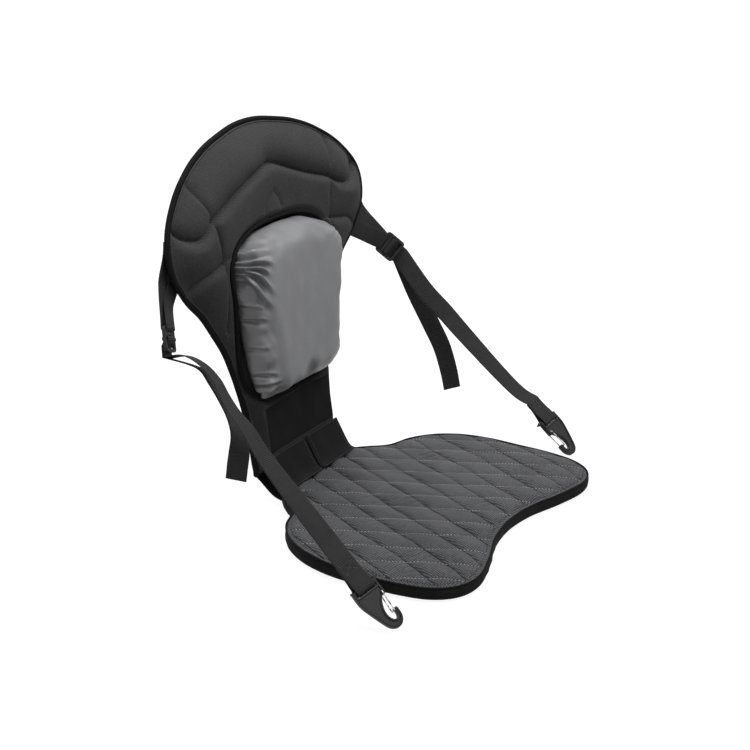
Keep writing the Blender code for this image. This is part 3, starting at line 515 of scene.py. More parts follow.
def side_of(line, stretch, x, y):
    """1 on the left of the nearest stretch of a line, -1 on its right."""
    line = np.array([tuple(p)[:2] for p in line])
    a, b = line[stretch], line[stretch + 1]
    return np.sign((b[..., 0] - a[..., 0]) * (y - a[..., 1]) - (b[..., 1] - a[..., 1]) * (x - a[..., 0]))


def lumpy(x, y, seed, size):
    """Smooth noise from a few turned waves, between -1 and 1."""
    rng = np.random.default_rng(seed)
    total = np.zeros_like(x)
    for _ in range(9):
        angle, phase = rng.uniform(0, 2 * math.pi, 2)
        pitch = size * rng.uniform(0.6, 1.7)
        total += np.sin(2 * math.pi * (x * math.cos(angle) + y * math.sin(angle)) / pitch + phase)
    return total / 4.2


print("array helpers ready")

# %% [markdown]
# ## Making a piece
# Every piece ends the same way: a mesh, a finish, a name, the body it rides on and the solid it
# stands for. One function does all of it, so no piece is forgotten.


# %% One maker for every piece
def add_piece(name, points, faces, finish, body="seat", stands_for=None, slot=None, strip=None,
              sharp=None):
    mesh = bpy.data.meshes.new(name)
    mesh.from_pydata([tuple(p) for p in points], [], [tuple(int(i) for i in f) for f in faces])
    mesh.polygons.foreach_set("use_smooth", [True] * len(mesh.polygons))
    if strip is not None:
        layer = mesh.uv_layers.new(name="strip")
        corners = np.zeros(len(mesh.loops), np.int32)
        mesh.loops.foreach_get("vertex_index", corners)
        layer.data.foreach_set("uv", np.asarray(strip, np.float32)[corners].ravel())
    work = bmesh.new()
    work.from_mesh(mesh)
    bmesh.ops.recalc_face_normals(work, faces=work.faces)
    work.to_mesh(mesh)
    work.free()
    mesh.materials.append(FINISH[finish])
    if sharp:
        mesh.set_sharp_from_angle(angle=math.radians(sharp))
    piece = bpy.data.objects.new(name, mesh)
    bpy.context.scene.collection.objects.link(piece)
    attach(piece, body)
    if stands_for:
        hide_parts(stands_for)
    slot or finish
    print(name, "faces:", len(mesh.polygons))
    return piece


# %% [markdown]
# Cloth is a grid of rows. Webbing, tape, piping, cord and wire are all one section that is carried
# along a line. The strip coordinates follow that line, so that ribs in a finish turn with it.


# %% Grids and swept bars
def lattice(rows, columns, closed=False):
    """Faces between a grid's points, row by row. A closed grid joins its last column to the first."""
    faces = []
    for r in range(rows - 1):
        for c in range(columns if closed else columns - 1):
            d = (c + 1) % columns
            faces.append((r * columns + c, r * columns + d, (r + 1) * columns + d, (r + 1) * columns + c))
    return faces


def sweep(sections, closed):
    """Points, faces and strip coordinates of a bar or ring made from sections of equal count."""
    sides, count = len(sections[0]), len(sections)
    points = [p for section in sections for p in section]
    faces = lattice(count, sides, True)
    if closed:
        last = (count - 1) * sides
        faces += [(last + k, last + (k + 1) % sides, (k + 1) % sides, k) for k in range(sides)]
    else:
        faces += [tuple(range(sides)), tuple((count - 1) * sides + k for k in range(sides))]
    middles = [sum(section, Vector()) / sides for section in sections]
    strip = []
    for section, middle, run in zip(sections, middles, reaches(middles)):
        wide = (section[sides // 2] - section[0]).normalized()
        strip += [((p - middle).dot(wide), run) for p in section]
    return points, faces, strip


def round_section(centre, across, upward, radius, sides):
    """A round section about a centre, in the plane of two unit directions."""
    return [centre + radius * (math.cos(2 * math.pi * k / sides) * across
                               + math.sin(2 * math.pi * k / sides) * upward) for k in range(sides)]


def cord_round(loop, upward, radius, sides):
    """Sections of a round cord along a closed loop in space."""
    sections = []
    for i, here in enumerate(loop):
        along = (loop[(i + 1) % len(loop)] - loop[i - 1]).normalized()
        across = along.cross(upward).normalized()
        sections.append(round_section(here, across, across.cross(along), radius, sides))
    return sections


print("grid and bar makers ready")

# %% [markdown]
# A stitch is a short bar of thread whose ends dip into the cloth. Rows of real bars catch the
# light as thread does, and they stay in place in a close view, where a painted line would blur.

# %% Stitches
# Share of a stitch's length, its thickness there and its height, in radii
STITCH_SHAPE = ((0.0, 0.45, -0.6), (0.22, 1.0, 0.8), (0.78, 1.0, 0.8), (1.0, 0.45, -0.6))


def stitch_row(line, up, pitch, length, radius, lift=0.0):
    """Points and faces of the stitches along a line on a surface that faces up."""
    reach = reaches(line)

    def at(distance):
        k = min(max(int(np.searchsorted(reach, distance)) - 1, 0), len(line) - 2)
        return line[k].lerp(line[k + 1], (distance - reach[k]) / max(reach[k + 1] - reach[k], 1e-9))

    points, faces = [], []
    run = 0.0
    while run + length < reach[-1]:
        a, b = at(run), at(run + length)
        along = (b - a).normalized()
        side = along.cross(up).normalized()
        rise = side.cross(along)
        first = len(points)
        for share, thick, high in STITCH_SHAPE:
            centre = a.lerp(b, share) + rise * (lift + radius * high)
            points += round_section(centre, side, rise, radius * thick, 4)
        faces += [tuple(first + i for i in face)
                  for face in lattice(4, 4, True) + [(0, 1, 2, 3), (12, 13, 14, 15)]]
        run += pitch
    return points, faces


def join_rows(rows):
    """One list of points and faces from several."""
    points, faces = [], []
    for some_points, some_faces in rows:
        first = len(points)
        points += some_points
        faces += [tuple(first + i for i in face) for face in some_faces]
    return points, faces


print("stitch maker ready")

# %% [markdown]
# ## The quilted seat pad
# The top cloth is sewn through to the foam along two families of slanting lines, which leaves
# puffed diamonds. A cloth simulation would smooth the stitched grooves away, so the cover is a
# fine height field: high inside each diamond, low on each line, with small puckers where the
# thread draws the cloth in. One family was sewn tighter, so it is the deeper one, and near-black
# thread laid along it paints the shade of its groove.

# %% The pad's outline and sizes
PAD_WIDTH = 0.430
PAD_DEPTH = 0.318
PAD_BACK_Y = 0.160
PAD_THICKNESS = 0.0200
PAD_BAND = 0.0016
CLEARANCE = 0.0003
QUILT_SPACING = 0.0400
QUILT_SLOPE = 0.47
QUILT_START = (0.012, -0.030)
QUILT_PUFF = 0.0058
QUILT_BEND = 0.0018
RIM_DROP = 0.0032
PAD_SHAPE = (
    (0.0, 0.0), (0.18, 0.0), (0.34, 0.001), (0.395, 0.014), (0.46, 0.060), (0.56, 0.135),
    (0.72, 0.175), (0.85, 0.245), (0.94, 0.345), (0.99, 0.470), (1.0, 0.600), (0.995, 0.74),
    (0.953, 0.88), (0.85, 0.970), (0.69, 1.0), (0.465, 0.966), (0.23, 0.912), (0.0, 0.893),
)
pad_outline = resample(catmull([Vector((x * PAD_WIDTH / 2, PAD_BACK_Y - y * PAD_DEPTH))
                                for x, y in mirrored(PAD_SHAPE)], 12, True), 360, True)
pad_core = inset(pad_outline, PAD_BAND + CLEARANCE)
print("pad outline points:", len(pad_outline))


def rim_height(y):
    """The soft pad is sewn down thinner at its front and sides than at its back edge."""
    return PAD_THICKNESS - RIM_DROP * smoothstep((0.07 - np.asarray(y)) / 0.12)


# %% [markdown]
# A diamond's height comes from how far a point is from its four stitched lines. Each line gets a
# wide valley and a narrow groove. Short puckers run across it, a few creases cross whole diamonds
# as in the picture, and everything is drawn down to the rim at the edge.


# %% The height of the quilted cloth
def quilt_cells(x, y):
    """Which diamond a point is in, counted along both families of lines."""
    cx, cy = QUILT_START
    bend = QUILT_BEND * lumpy(x, y, 5, 0.16)
    rising = ((x + bend - cx) - QUILT_SLOPE * (y - cy)) / QUILT_SPACING
    falling = ((x - bend - cx) + QUILT_SLOPE * (y - cy)) / QUILT_SPACING
    return rising, falling


LINE_SHARE = 1.0 / math.hypot(1.0, QUILT_SLOPE)
# Half widths of the valleys and grooves. A tight seam's valley is narrower on one side.
TIGHT_VALLEY, TIGHT_FAR_VALLEY, TIGHT_GROOVE = 0.0062, 0.0088, 0.0017
LOOSE_VALLEY, LOOSE_GROOVE = 0.0072, 0.0019
PUCKER_HEIGHT, PUCKER_PITCH, CROSS_PUCKER_PITCH = 0.00026, 0.0046, 0.0052
CREASE_HEIGHT, CREASE_PITCH = 0.0027, 0.0105
HEM_HEIGHT, HEM_PITCH = 0.00045, 0.0056
RIM_SOFT, RIM_REACH = 0.012, 0.034
COVER_LIFT = 0.0002
# Where the picture shows the cloth creased across a diamond: place and reach
CREASED = ((-0.030, 0.020, 0.016), (-0.028, 0.062, 0.016), (0.110, 0.050, 0.018),
           (-0.032, -0.012, 0.013), (-0.176, -0.058, 0.020), (-0.150, -0.078, 0.018),
           (0.020, -0.075, 0.014), (-0.095, 0.000, 0.014))


def quilt_height(x, y, from_edge):
    """The cloth's height over the pad's underside."""
    rising, falling = quilt_cells(x, y)
    to_rising = np.abs(rising - np.round(rising)) * QUILT_SPACING * LINE_SHARE
    to_falling = np.abs(falling - np.round(falling)) * QUILT_SPACING * LINE_SHARE
    valley = np.where(rising > np.round(rising), TIGHT_VALLEY, TIGHT_FAR_VALLEY)
    deep = (1 - 0.52 * np.exp(-(to_rising / valley) ** 1.4)
            - 0.48 * np.exp(-(to_rising / TIGHT_GROOVE) ** 1.5))
    soft = (1 - 0.34 * np.exp(-(to_falling / LOOSE_VALLEY) ** 1.4)
            - 0.26 * np.exp(-(to_falling / LOOSE_GROOVE) ** 1.5))
    rounded = (np.sin(math.pi * rising) ** 2 * np.sin(math.pi * falling) ** 2) ** 0.3
    cell = np.floor(rising) * 7.13 + np.floor(falling) * 3.71
    puff = deep * soft * (0.76 + 0.24 * rounded) * (1.0 + 0.20 * np.sin(cell * 2.3))
    pucker = (np.sin(2 * math.pi * (y + 0.3 * x) / PUCKER_PITCH + 3 * np.sin(cell))
              * np.exp(-(to_falling / 0.0050) ** 2)
              + 0.6 * np.sin(2 * math.pi * (y - 0.2 * x) / CROSS_PUCKER_PITCH)
              * np.exp(-(to_rising / 0.0048) ** 2))
    creased = sum(np.exp(-((x - px) ** 2 + (y - py) ** 2) / (2 * reach ** 2)) for px, py, reach in CREASED)
    crease_run = (y + 0.25 * x + 0.003 * lumpy(x, y, 9, 0.03)) / CREASE_PITCH
    cross = np.abs(np.sin(math.pi * crease_run)) ** 0.7 - 0.6
    edge = smoothstep(from_edge / RIM_SOFT) ** 0.6
    height = (QUILT_PUFF * puff + PUCKER_HEIGHT * pucker * deep + CREASE_HEIGHT * creased * cross * rounded
              + 0.00045 * lumpy(x, y, 3, 0.05) + 0.00020 * lumpy(x, y, 13, 0.016) * rounded)
    hem = (HEM_HEIGHT * np.sin(2 * math.pi * (x + y) / HEM_PITCH)
           * np.exp(-((from_edge - 0.006) / 0.004) ** 2))
    rim = rim_height(y)
    base = rim + (PAD_THICKNESS - rim) * smoothstep(from_edge / RIM_REACH)
    return base + COVER_LIFT + np.maximum(height, 0.0) * edge + hem * smoothstep(from_edge / 0.002)


print("quilted cloth, at most", QUILT_PUFF * 1000, "mm of puff")

# %% [markdown]
# The cover's columns run from the pad's front edge to its back edge at each x, and stand closer
# together near the sides, where the outline turns. So the cover's rim is the outline itself.


# %% Build the quilted cover
COVER_COLUMNS, COVER_ROWS = 374, 262


def pad_chain(upper):
    """The outline's back or front half, sorted along x, for reading its y at any x."""
    left = min(range(len(pad_core)), key=lambda i: pad_core[i].x)
    right = max(range(len(pad_core)), key=lambda i: pad_core[i].x)
    count = len(pad_core)
    runs = [[pad_core[(a + k) % count] for k in range((b - a) % count + 1)]
            for a, b in ((left, right), (right, left))]
    runs.sort(key=lambda run: sum(p.y for p in run) / len(run))
    chosen = sorted(runs[1] if upper else runs[0], key=lambda p: p.x)
    return np.array([p.x for p in chosen]), np.array([p.y for p in chosen])


far_x, far_y = pad_chain(True)
near_x, near_y = pad_chain(False)
turn = np.linspace(0.0, math.pi, COVER_COLUMNS)
column_x = -np.cos(turn) * 0.35 + (turn / math.pi * 2 - 1) * 0.65
column_x = column_x * (far_x[-1] - far_x[0]) / 2 + (far_x[-1] + far_x[0]) / 2
share = np.linspace(0.0, 1.0, COVER_ROWS)[:, None]
low_y, high_y = np.interp(column_x, near_x, near_y), np.interp(column_x, far_x, far_y)
grid_y = low_y + (high_y - low_y) * share
grid_x = np.broadcast_to(column_x, grid_y.shape)
edge_away, _ = away_from(pad_core, grid_x, grid_y, closed=True)
cover_points = np.dstack([grid_x, grid_y, quilt_height(grid_x, grid_y, edge_away)]).reshape(-1, 3)
quilted_cover = add_piece("quilted_cover", cover_points, lattice(COVER_ROWS, COVER_COLUMNS),
                          "quilted_top_cloth", stands_for="seat_pad_top_cover")

# %% [markdown]
# The thread shows as pale dashes, clearest on the family that was sewn loosely. Each dash is a
# real short bar laid in the groove, so it catches the light and stays in place in a close view.


# %% Stitches on the pad
UPRIGHT = Vector((0.0, 0.0, 1.0))
THREAD_LIFT = 0.0001
HEM_INSET = 0.0066
EDGE_FREE = 0.003
# Pitch, length and radius of the stitches of each kind
PALE_DASHES = (0.0042, 0.0027, 0.00060)
# The tight family's dashes are near-black and almost end to end: painted shade in the groove.
DARK_THREAD_AND_SHADE_DASHES = (0.0042, 0.0040, 0.00074)
HEM_DASHES = (0.0040, 0.0024, 0.00036)


def on_cover(x, y):
    """Points on the cover at many places at once, with each one's distance to the edge."""
    x, y = np.asarray(x, float), np.asarray(y, float)
    away, _ = away_from(pad_core, x, y, closed=True)
    return np.column_stack([x, y, quilt_height(x, y, away)]), away


def quilt_lines(family, number):
    """The stretches of one stitched line that lie on the pad."""
    cx, cy = QUILT_START
    y = np.arange(PAD_BACK_Y - PAD_DEPTH, PAD_BACK_Y, 0.003)
    x = cx + number * QUILT_SPACING + family * QUILT_SLOPE * (y - cy)
    x = x - family * QUILT_BEND * lumpy(x, y, 5, 0.16)
    inside = ((x > near_x[0]) & (x < near_x[-1]) & (y > np.interp(x, near_x, near_y))
              & (y < np.interp(x, far_x, far_y)))
    spots, away = on_cover(x, y)
    inside &= away > EDGE_FREE
    runs, run = [], []
    for spot, kept in zip(spots, inside):
        if kept:
            run.append(Vector(spot))
        elif run:
            runs.append(run)
            run = []
    return [line for line in runs + [run] if len(line) > 2]


# The tight family's rows are a real seam and painted shade in its groove; the hem row is plain black thread.
pale_rows, dark_thread_and_shade_rows = [], []
for family, rows, dashes in ((-1.0, pale_rows, PALE_DASHES), (1.0, dark_thread_and_shade_rows, DARK_THREAD_AND_SHADE_DASHES)):
    for number in range(-8, 9):
        rows += [stitch_row(line, UPRIGHT, *dashes, THREAD_LIFT) for line in quilt_lines(family, number)]
hem = inset(pad_outline, HEM_INSET)
hem_line = [Vector(spot) for spot in on_cover([p.x for p in hem], [p.y for p in hem])[0]]
dark_thread_and_shade_rows.append(stitch_row(hem_line + hem_line[:1], UPRIGHT, *HEM_DASHES, THREAD_LIFT))
add_piece("quilt_stitches", *join_rows(pale_rows), "pale_thread", slot="quilted_top_cloth")
add_piece("quilt_seams", *join_rows(dark_thread_and_shade_rows), "black_thread", slot="quilted_top_cloth")

# %% [markdown]
# ## The pad's edge
# A black band closes the pad's side, and a thin piping covers the seam where it meets the top
# cloth. The band is sewn round curves, so it ripples a little.


# %% Side band and piping
# Share of the edge's height, and how far outward the cloth stands there
BAND_PROFILE = ((0.0, -0.0070), (0.03, -0.0044), (0.10, -0.0020), (0.22, -0.0002), (0.40, 0.0008),
                (0.60, 0.0010), (0.80, 0.0006), (0.94, 0.0001), (0.99, -0.0014), (0.60, -0.0020),
                (0.06, -0.0080))
PIPING_RISE = 0.0006
PIPING_RADIUS = 0.0013


def band_profile(i):
    """The band's section at one point: rounded under, bowed outward, with a slow ripple."""
    here = pad_outline[i]
    along = (pad_outline[(i + 1) % len(pad_outline)] - pad_outline[i - 1]).normalized()
    outward = Vector((along.y, -along.x, 0.0)) * turn_of(pad_outline)
    run = i / len(pad_outline)
    ripple = 0.0004 * math.sin(2 * math.pi * 46 * run) + 0.0003 * math.sin(2 * math.pi * 17 * run + 1.0)
    top = float(rim_height(here.y)) - 0.0002
    return [Vector((here.x, here.y, 0.0)) + outward * (bow + ripple * math.sin(math.pi * share) * (bow > 0))
            + UPRIGHT * (0.0003 + share * top) for share, bow in BAND_PROFILE]


band_points, band_faces, _ = sweep([band_profile(i) for i in range(len(pad_outline))], True)
add_piece("pad_side_band", band_points, band_faces, "pad_base_cloth", stands_for="seat_pad_side_band",
          slot="black_cloth")


pad_seam = [Vector((p.x, p.y, float(rim_height(p.y)) + PIPING_RISE)) for p in inset(pad_outline, 0.0006)]
points, faces, strip = sweep(cord_round(pad_seam, UPRIGHT, PIPING_RADIUS, 8), True)
add_piece("pad_piping", points, faces, "piping", stands_for="seat_pad_piping", strip=strip)

# %% [markdown]
# The base cloth and the foam core lie inside the band. Nobody sees much of them, so plain slabs
# that follow the outline are enough.


# %% Base cloth and foam core
def pad_layer(name, profile, finish, stands_for, slot):
    """A closed slab inside the band, from rings at given heights and distances from the outline."""
    rows = []
    for share, drawn in profile:
        ring = inset(pad_outline, drawn)
        rows += [(p.x, p.y, 0.0003 + share * (float(rim_height(q.y)) - 0.0006))
                 for p, q in zip(ring, pad_outline)]
    count = len(pad_outline)
    faces = lattice(len(profile), count, True)
    for row in (0, len(profile) - 1):
        ring = [Vector((*rows[row * count + k][:2], 0.0)) for k in range(count)]
        faces += [tuple(row * count + k for k in tri) for tri in tessellate_polygon([ring])]
    add_piece(name, rows, faces, finish, stands_for=stands_for, slot=slot)


pad_layer("pad_base", ((0.0, 0.0068), (0.02, 0.0068)), "pad_base_cloth", "seat_pad_base_cover",
          "black_cloth")
pad_layer("pad_foam", ((0.04, 0.0092), (0.20, 0.0040), (0.80, 0.0030), (0.93, 0.0034)),
          "closed_cell_foam", "seat_pad_foam", "closed_cell_foam")

# %% [markdown]
# ## The moulded backrest
# The front of the backrest is knit cloth over foam, pressed in a mould. Its channels aren't even
# grooves: the foam above rolls down to the line, and the foam below rises sharply from it. A
# height field over rings that run from the rim to the recess gives exactly that.

# %% Sizes of the backrest
BACK_WIDTH = 0.436
BACK_FOOT = 0.035
BACK_HEIGHT = 0.4450
BACK_PLANE_Y = 0.194
SHOULDER_EASE = 0.022
SHOULDER_AT = 0.90
SHOULDER_REACH = 0.13
BACK_POINTS = 800
BACK_RECLINE = math.radians(8.0)
BACK_WRAP = 0.50
FOAM_RIM = 0.0032
FOAM_FULL = 0.0220
FOAM_ROLL = 0.0150
HEAD_FULL = 0.0285
TAPE_REACH = 0.0044
HEAD_ROLL = 0.0520
RECESS_FLOOR = 0.0080
LUMBAR_PANEL_TOP = 0.124
LUMBAR_PANEL_FOOT = 0.064
LUMBAR_PANEL_WIDTH = 0.147
BACK_SHAPE = (
    (0.0, 0.0), (0.365, 0.0), (0.408, 0.028), (0.413, 0.121), (0.431, 0.202), (0.463, 0.272),
    (0.499, 0.331), (0.553, 0.397), (0.635, 0.459), (0.730, 0.522), (0.839, 0.572),
    (0.907, 0.611), (0.971, 0.658), (1.0, 0.706), (1.0, 0.754), (0.966, 0.797), (0.889, 0.842),
    (0.794, 0.881), (0.680, 0.915), (0.567, 0.942), (0.422, 0.967), (0.281, 0.983), (0.136, 0.996),
    (0.0, 1.0),
)
RECESS_WIDTH = 0.220
RECESS_FOOT = 0.129
RECESS_HEIGHT = 0.226
RECESS_SHAPE = (
    (0.0, 0.0), (0.455, 0.009), (0.664, 0.040), (0.791, 0.093), (0.845, 0.159), (0.891, 0.270),
    (0.936, 0.469), (0.973, 0.624), (1.0, 0.757), (0.955, 0.845), (0.773, 0.934), (0.455, 0.987),
    (0.0, 1.0),
)
print("backrest:", BACK_WIDTH, "by", BACK_HEIGHT)

# %% [markdown]
# The face leans back and wraps round the sitter. So every piece of the backrest is drawn flat,
# across and up, and one function lifts its points onto the curved face.


# %% The backrest's outline and its face
UP_FACE = Vector((0.0, math.sin(BACK_RECLINE), math.cos(BACK_RECLINE)))
FORWARD = Vector((0.0, -math.cos(BACK_RECLINE), math.sin(BACK_RECLINE)))


def face_point(x, v, d):
    """A point from its place across and up the face, and its distance in front of the foam's back."""
    return Vector((x, BACK_PLANE_Y, 0.0)) + UP_FACE * v + FORWARD * (d + BACK_WRAP * x * x)


def face_points(x, v, d):
    """The same for whole arrays."""
    forward = d + BACK_WRAP * x * x
    return np.dstack([x, BACK_PLANE_Y + UP_FACE.y * v + FORWARD.y * forward,
                      UP_FACE.z * v + FORWARD.z * forward])


def eased(p):
    """A point of the outline, drawn in a little at the shoulders."""
    away = (p.y / BACK_HEIGHT - SHOULDER_AT) / SHOULDER_REACH
    return Vector((p.x * (1 - SHOULDER_EASE * math.exp(-away ** 2)), p.y))


back_outline = resample(catmull([Vector((x * BACK_WIDTH / 2, BACK_FOOT + v * BACK_HEIGHT))
                                 for x, v in mirrored(BACK_SHAPE)], 10, True), BACK_POINTS, True)
back_outline = [eased(p) for p in back_outline]
recess_curve = catmull([Vector((x * RECESS_WIDTH / 2, RECESS_FOOT + v * RECESS_HEIGHT))
                        for x, v in mirrored(RECESS_SHAPE)], 12, True)
face_centre = Vector((0.0, RECESS_FOOT + RECESS_HEIGHT / 2))
print("backrest outline points:", len(back_outline))

# %% [markdown]
# The moulded front is made of rings between the rim and the recess. Each ring point lies on a ray
# from the middle of the recess to one point of the rim, so the two loops have to be matched first.


# %% Rim and recess, matched
def where_ray_meets(curve, toward):
    """Where the ray from the face's centre toward a point meets a closed curve."""
    aim = (toward - face_centre).normalized()
    side = Vector((-aim.y, aim.x))
    best = None
    for a, b in zip(curve, curve[1:] + curve[:1]):
        da, db = (a - face_centre).dot(side), (b - face_centre).dot(side)
        if da * db > 0 or da == db:
            continue
        spot = a.lerp(b, da / (da - db))
        reach = (spot - face_centre).dot(aim)
        if reach > 0 and (best is None or reach > (best - face_centre).dot(aim)):
            best = spot
    return best


recess_loop = [where_ray_meets(recess_curve, p) for p in back_outline]
print("recess points:", len(recess_loop))

# %% [markdown]
# Each channel is a line with a depth and two reaches: how far the roll above it and the rise below
# it extend. The near half is given, and the far half mirrors it, because the mould is symmetrical.
# Only the chevron's peak is shifted, since the picture shows it a little right of the middle.

# %% The moulded channels
# Each line runs so that its rolled side is on its left
CHEVRON = ((-0.130, 0.381), (-0.100, 0.3905), (-0.064, 0.4030), (-0.030, 0.4150),
           (-0.012, 0.4208), (0.0, 0.4225))
DIMPLE = ((-0.203, 0.392), (-0.196, 0.381), (-0.185, 0.371), (-0.165, 0.366), (-0.146, 0.371),
          (-0.130, 0.381))
FACET = ((-0.196, 0.297), (-0.180, 0.311), (-0.158, 0.320), (-0.122, 0.326))
RISER = ((-0.130, 0.380), (-0.142, 0.405), (-0.156, 0.440))
DROPPER = ((-0.130, 0.380), (-0.123, 0.350), (-0.121, 0.326))
INNER_EDGE = ((-0.121, 0.326), (-0.119, 0.290), (-0.118, 0.240))
FOLD = ((0.000, 0.388), (-0.012, 0.378), (-0.018, 0.366))
CHEVRON_SHIFT = 0.0100
# Line, depth, reach of the roll on its left, reach of the rise on its right
CHANNELS = (
    (CHEVRON, 0.0115, 0.0150, 0.0046),
    (DIMPLE, 0.0115, 0.0120, 0.0066),
    (FACET, 0.0085, 0.0160, 0.0058),
    (RISER, 0.0062, 0.0052, 0.0085),
    (DROPPER, 0.0060, 0.0062, 0.0070),
    (INNER_EDGE, 0.0048, 0.0075, 0.0042),
    (FOLD, 0.0020, 0.0045, 0.0036),
)
CREASE_DEPTH, CREASE_HALF = 0.0012, 0.0020
print("channels:", len(CHANNELS))

# %% [markdown]
# The foam rises steeply behind the rim tape, is fuller at the head than at the foot, and is
# pressed down along the channels. Where the plain panel covers its foot it is held flat.


# %% How far forward the foam stands
FOAM_CROWN = 0.0025
FOAM_SOFTNESS = 0.00060
NECK_WRINKLES, NECK_PITCH = 0.0009, 0.0058
RECESS_TUCK = 0.0050


def foam_front(x, v, from_edge, from_recess):
    """How far forward the moulded foam stands, from its distances to the rim and to the recess."""
    head = smoothstep((v - 0.13) / 0.13)
    full = FOAM_FULL + (HEAD_FULL - FOAM_FULL) * head
    roll = FOAM_ROLL + (HEAD_ROLL - FOAM_ROLL) * head
    rise = FOAM_RIM + (full - FOAM_RIM) * (1 - (1 - np.clip((from_edge - TAPE_REACH) / roll, 0, 1)) ** 1.7)
    cut = np.zeros_like(x)
    shifted = x - CHEVRON_SHIFT * np.exp(-(x / 0.06) ** 2) * smoothstep((v - 0.36) / 0.06)
    for line, depth, above, below in CHANNELS:
        for flip in (1, -1):
            path = catmull([Vector((flip * a, b)) for a, b in line], 5, False)
            away, stretch = away_from(path, shifted, v)
            rolled = side_of(path, stretch, shifted, v) * flip > 0
            profile = np.where(rolled, np.exp(-(away / above) ** 1.15), np.exp(-(away / below) ** 1.3))
            crease = CREASE_DEPTH * np.exp(-(away / CREASE_HALF) ** 1.5) * (depth / 0.006)
            cut = (cut ** 4 + (depth * profile + crease) ** 4) ** 0.25
    ease = smoothstep(from_edge / 0.018) * smoothstep((from_recess + 0.002) / 0.010)
    between = np.clip(from_edge / np.maximum(from_edge + from_recess, 1e-4), 0, 1)
    crown = FOAM_CROWN * np.sin(math.pi * between)
    soft = FOAM_SOFTNESS * lumpy(x, v, 21, 0.07)
    neck = np.exp(-((np.abs(x) - 0.123) / 0.012) ** 2 - ((v - 0.236) / 0.009) ** 2)
    wrinkles = NECK_WRINKLES * neck * np.sin(2 * math.pi * (v + 0.6 * np.abs(x)) / NECK_PITCH)
    tuck = RECESS_TUCK * (1 - smoothstep(from_recess / 0.010))
    front = rise + (crown + soft - cut) * ease + wrinkles - tuck
    under_panel = FOAM_FULL + 0.0002 + 0.0300 * smoothstep((v - LUMBAR_PANEL_TOP) / 0.030)
    return np.minimum(front, under_panel)


def front_heights(x, v):
    """The foam's height at any points of the face."""
    return foam_front(x, v, away_from(back_outline, x, v, closed=True)[0],
                      away_from(recess_loop, x, v, closed=True)[0])


print("foam between", FOAM_RIM, "and", HEAD_FULL)

# %% [markdown]
# The rings start at the rear of the rim, run over the front to the recess, and close its floor.
# They stand close together, because a channel's narrow side is only about four millimetres wide.

# %% Build the moulded front
FRONT_RINGS = 96
FLOOR_RINGS = (1.0, 0.5, 0.02)
WALL_INSET = 0.003
outer = np.array([tuple(p) for p in back_outline])
inner = np.array([tuple(p) for p in recess_loop])
wall = np.array([tuple(p) for p in inset(recess_loop, WALL_INSET)])
middle = np.array(face_centre)


def ring_rows(rings, height):
    """The rows of points of some rings on the face, at a height or at heights of their own."""
    x, v = rings[..., 0], rings[..., 1]
    return list(face_points(x, v, height(x, v) if callable(height) else np.full(x.shape, height)))


def rings_between(start, end, shares):
    return start + (end - start) * np.array(shares)[:, None, None]


rows = (ring_rows(outer[None], 0.0)
        + ring_rows(rings_between(outer, inner, np.linspace(0.0, 1.0, FRONT_RINGS)), front_heights)
        + ring_rows(rings_between(middle, wall, FLOOR_RINGS), RECESS_FLOOR))
moulded_front = add_piece("moulded_front", np.vstack(rows), lattice(len(rows), BACK_POINTS, True),
                          "moulded_knit", stands_for="backrest_foam")

# %% [markdown]
# ## Tape and piping of the backrest
# A folded tape pinches the foam thin at the rim. Its section is given from the front and from the
# rear of the pinched rim, so that it closes over both, whatever the rim's thickness.

# %% Rim tape
REAR_FACE = -0.0033
REAR_RIM = -0.0014
# How far outward, front (1) or rear (-1), and how far off that side
TAPE_SHAPE = (
    (-0.0042, 1, 0.0010), (-0.0012, 1, 0.0009), (0.0006, 1, -0.0003), (0.0012, 1, -0.0018),
    (0.0012, -1, -0.0014), (0.0006, -1, -0.0002), (-0.0012, -1, 0.0009), (-0.0056, -1, 0.0010),
    (-0.0056, -1, 0.0002), (-0.0004, -1, -0.0006), (-0.0004, 1, -0.0012), (-0.0036, 1, -0.0008),
)


def rim_section(i):
    """The folded tape's section at one point of the rim."""
    here, ahead, behind = back_outline[i], back_outline[(i + 1) % BACK_POINTS], back_outline[i - 1]
    along = (face_point(ahead.x, ahead.y, 0.0) - face_point(behind.x, behind.y, 0.0)).normalized()
    outward = FORWARD.cross(along).normalized()
    spot = face_point(here.x, here.y, 0.0)
    if outward.dot(spot - face_point(face_centre.x, face_centre.y, 0.0)) < 0:
        outward = -outward
    return [spot + outward * o + FORWARD * (FOAM_RIM + lift if facing > 0 else REAR_RIM - lift)
            for o, facing, lift in TAPE_SHAPE]


points, faces, strip = sweep([rim_section(i) for i in range(BACK_POINTS)], True)
add_piece("rim_tape", points, faces, "piping", stands_for="backrest_edge_binding", strip=strip)


# %% [markdown]
# A piping runs just inside the tape, coloured paler to paint the highlight along it, and a black
# one binds the edge of the recess. Both are round cords that lie on the moulded front, so their
# lines are read from its height.


# %% Piping and recess tape
def laid_cord(name, loop, lift, radius, sides, finish, stands_for):
    """A round cord that lies on the moulded front along a loop."""
    heights = front_heights(np.array([p.x for p in loop]), np.array([p.y for p in loop]))
    line = [face_point(p.x, p.y, float(d) + lift) for p, d in zip(loop, heights)]
    points, faces, strip = sweep(cord_round(line, FORWARD, radius, sides), True)
    add_piece(name, points, faces, finish, stands_for=stands_for, slot="piping", strip=strip)


FRONT_PIPING_INSET = 0.0058
# Lift off the foam, radius and sides of each cord
FRONT_PIPING = (0.0004, 0.0011, 6)
RECESS_TAPE = (0.0022, 0.0028, 8)
# The front piping's pale colour is a painted highlight.
laid_cord("front_piping", inset(back_outline, FRONT_PIPING_INSET), *FRONT_PIPING, "pale_piping",
          "backrest_piping")
laid_cord("recess_tape", recess_loop, *RECESS_TAPE, "piping", "recess_binding")
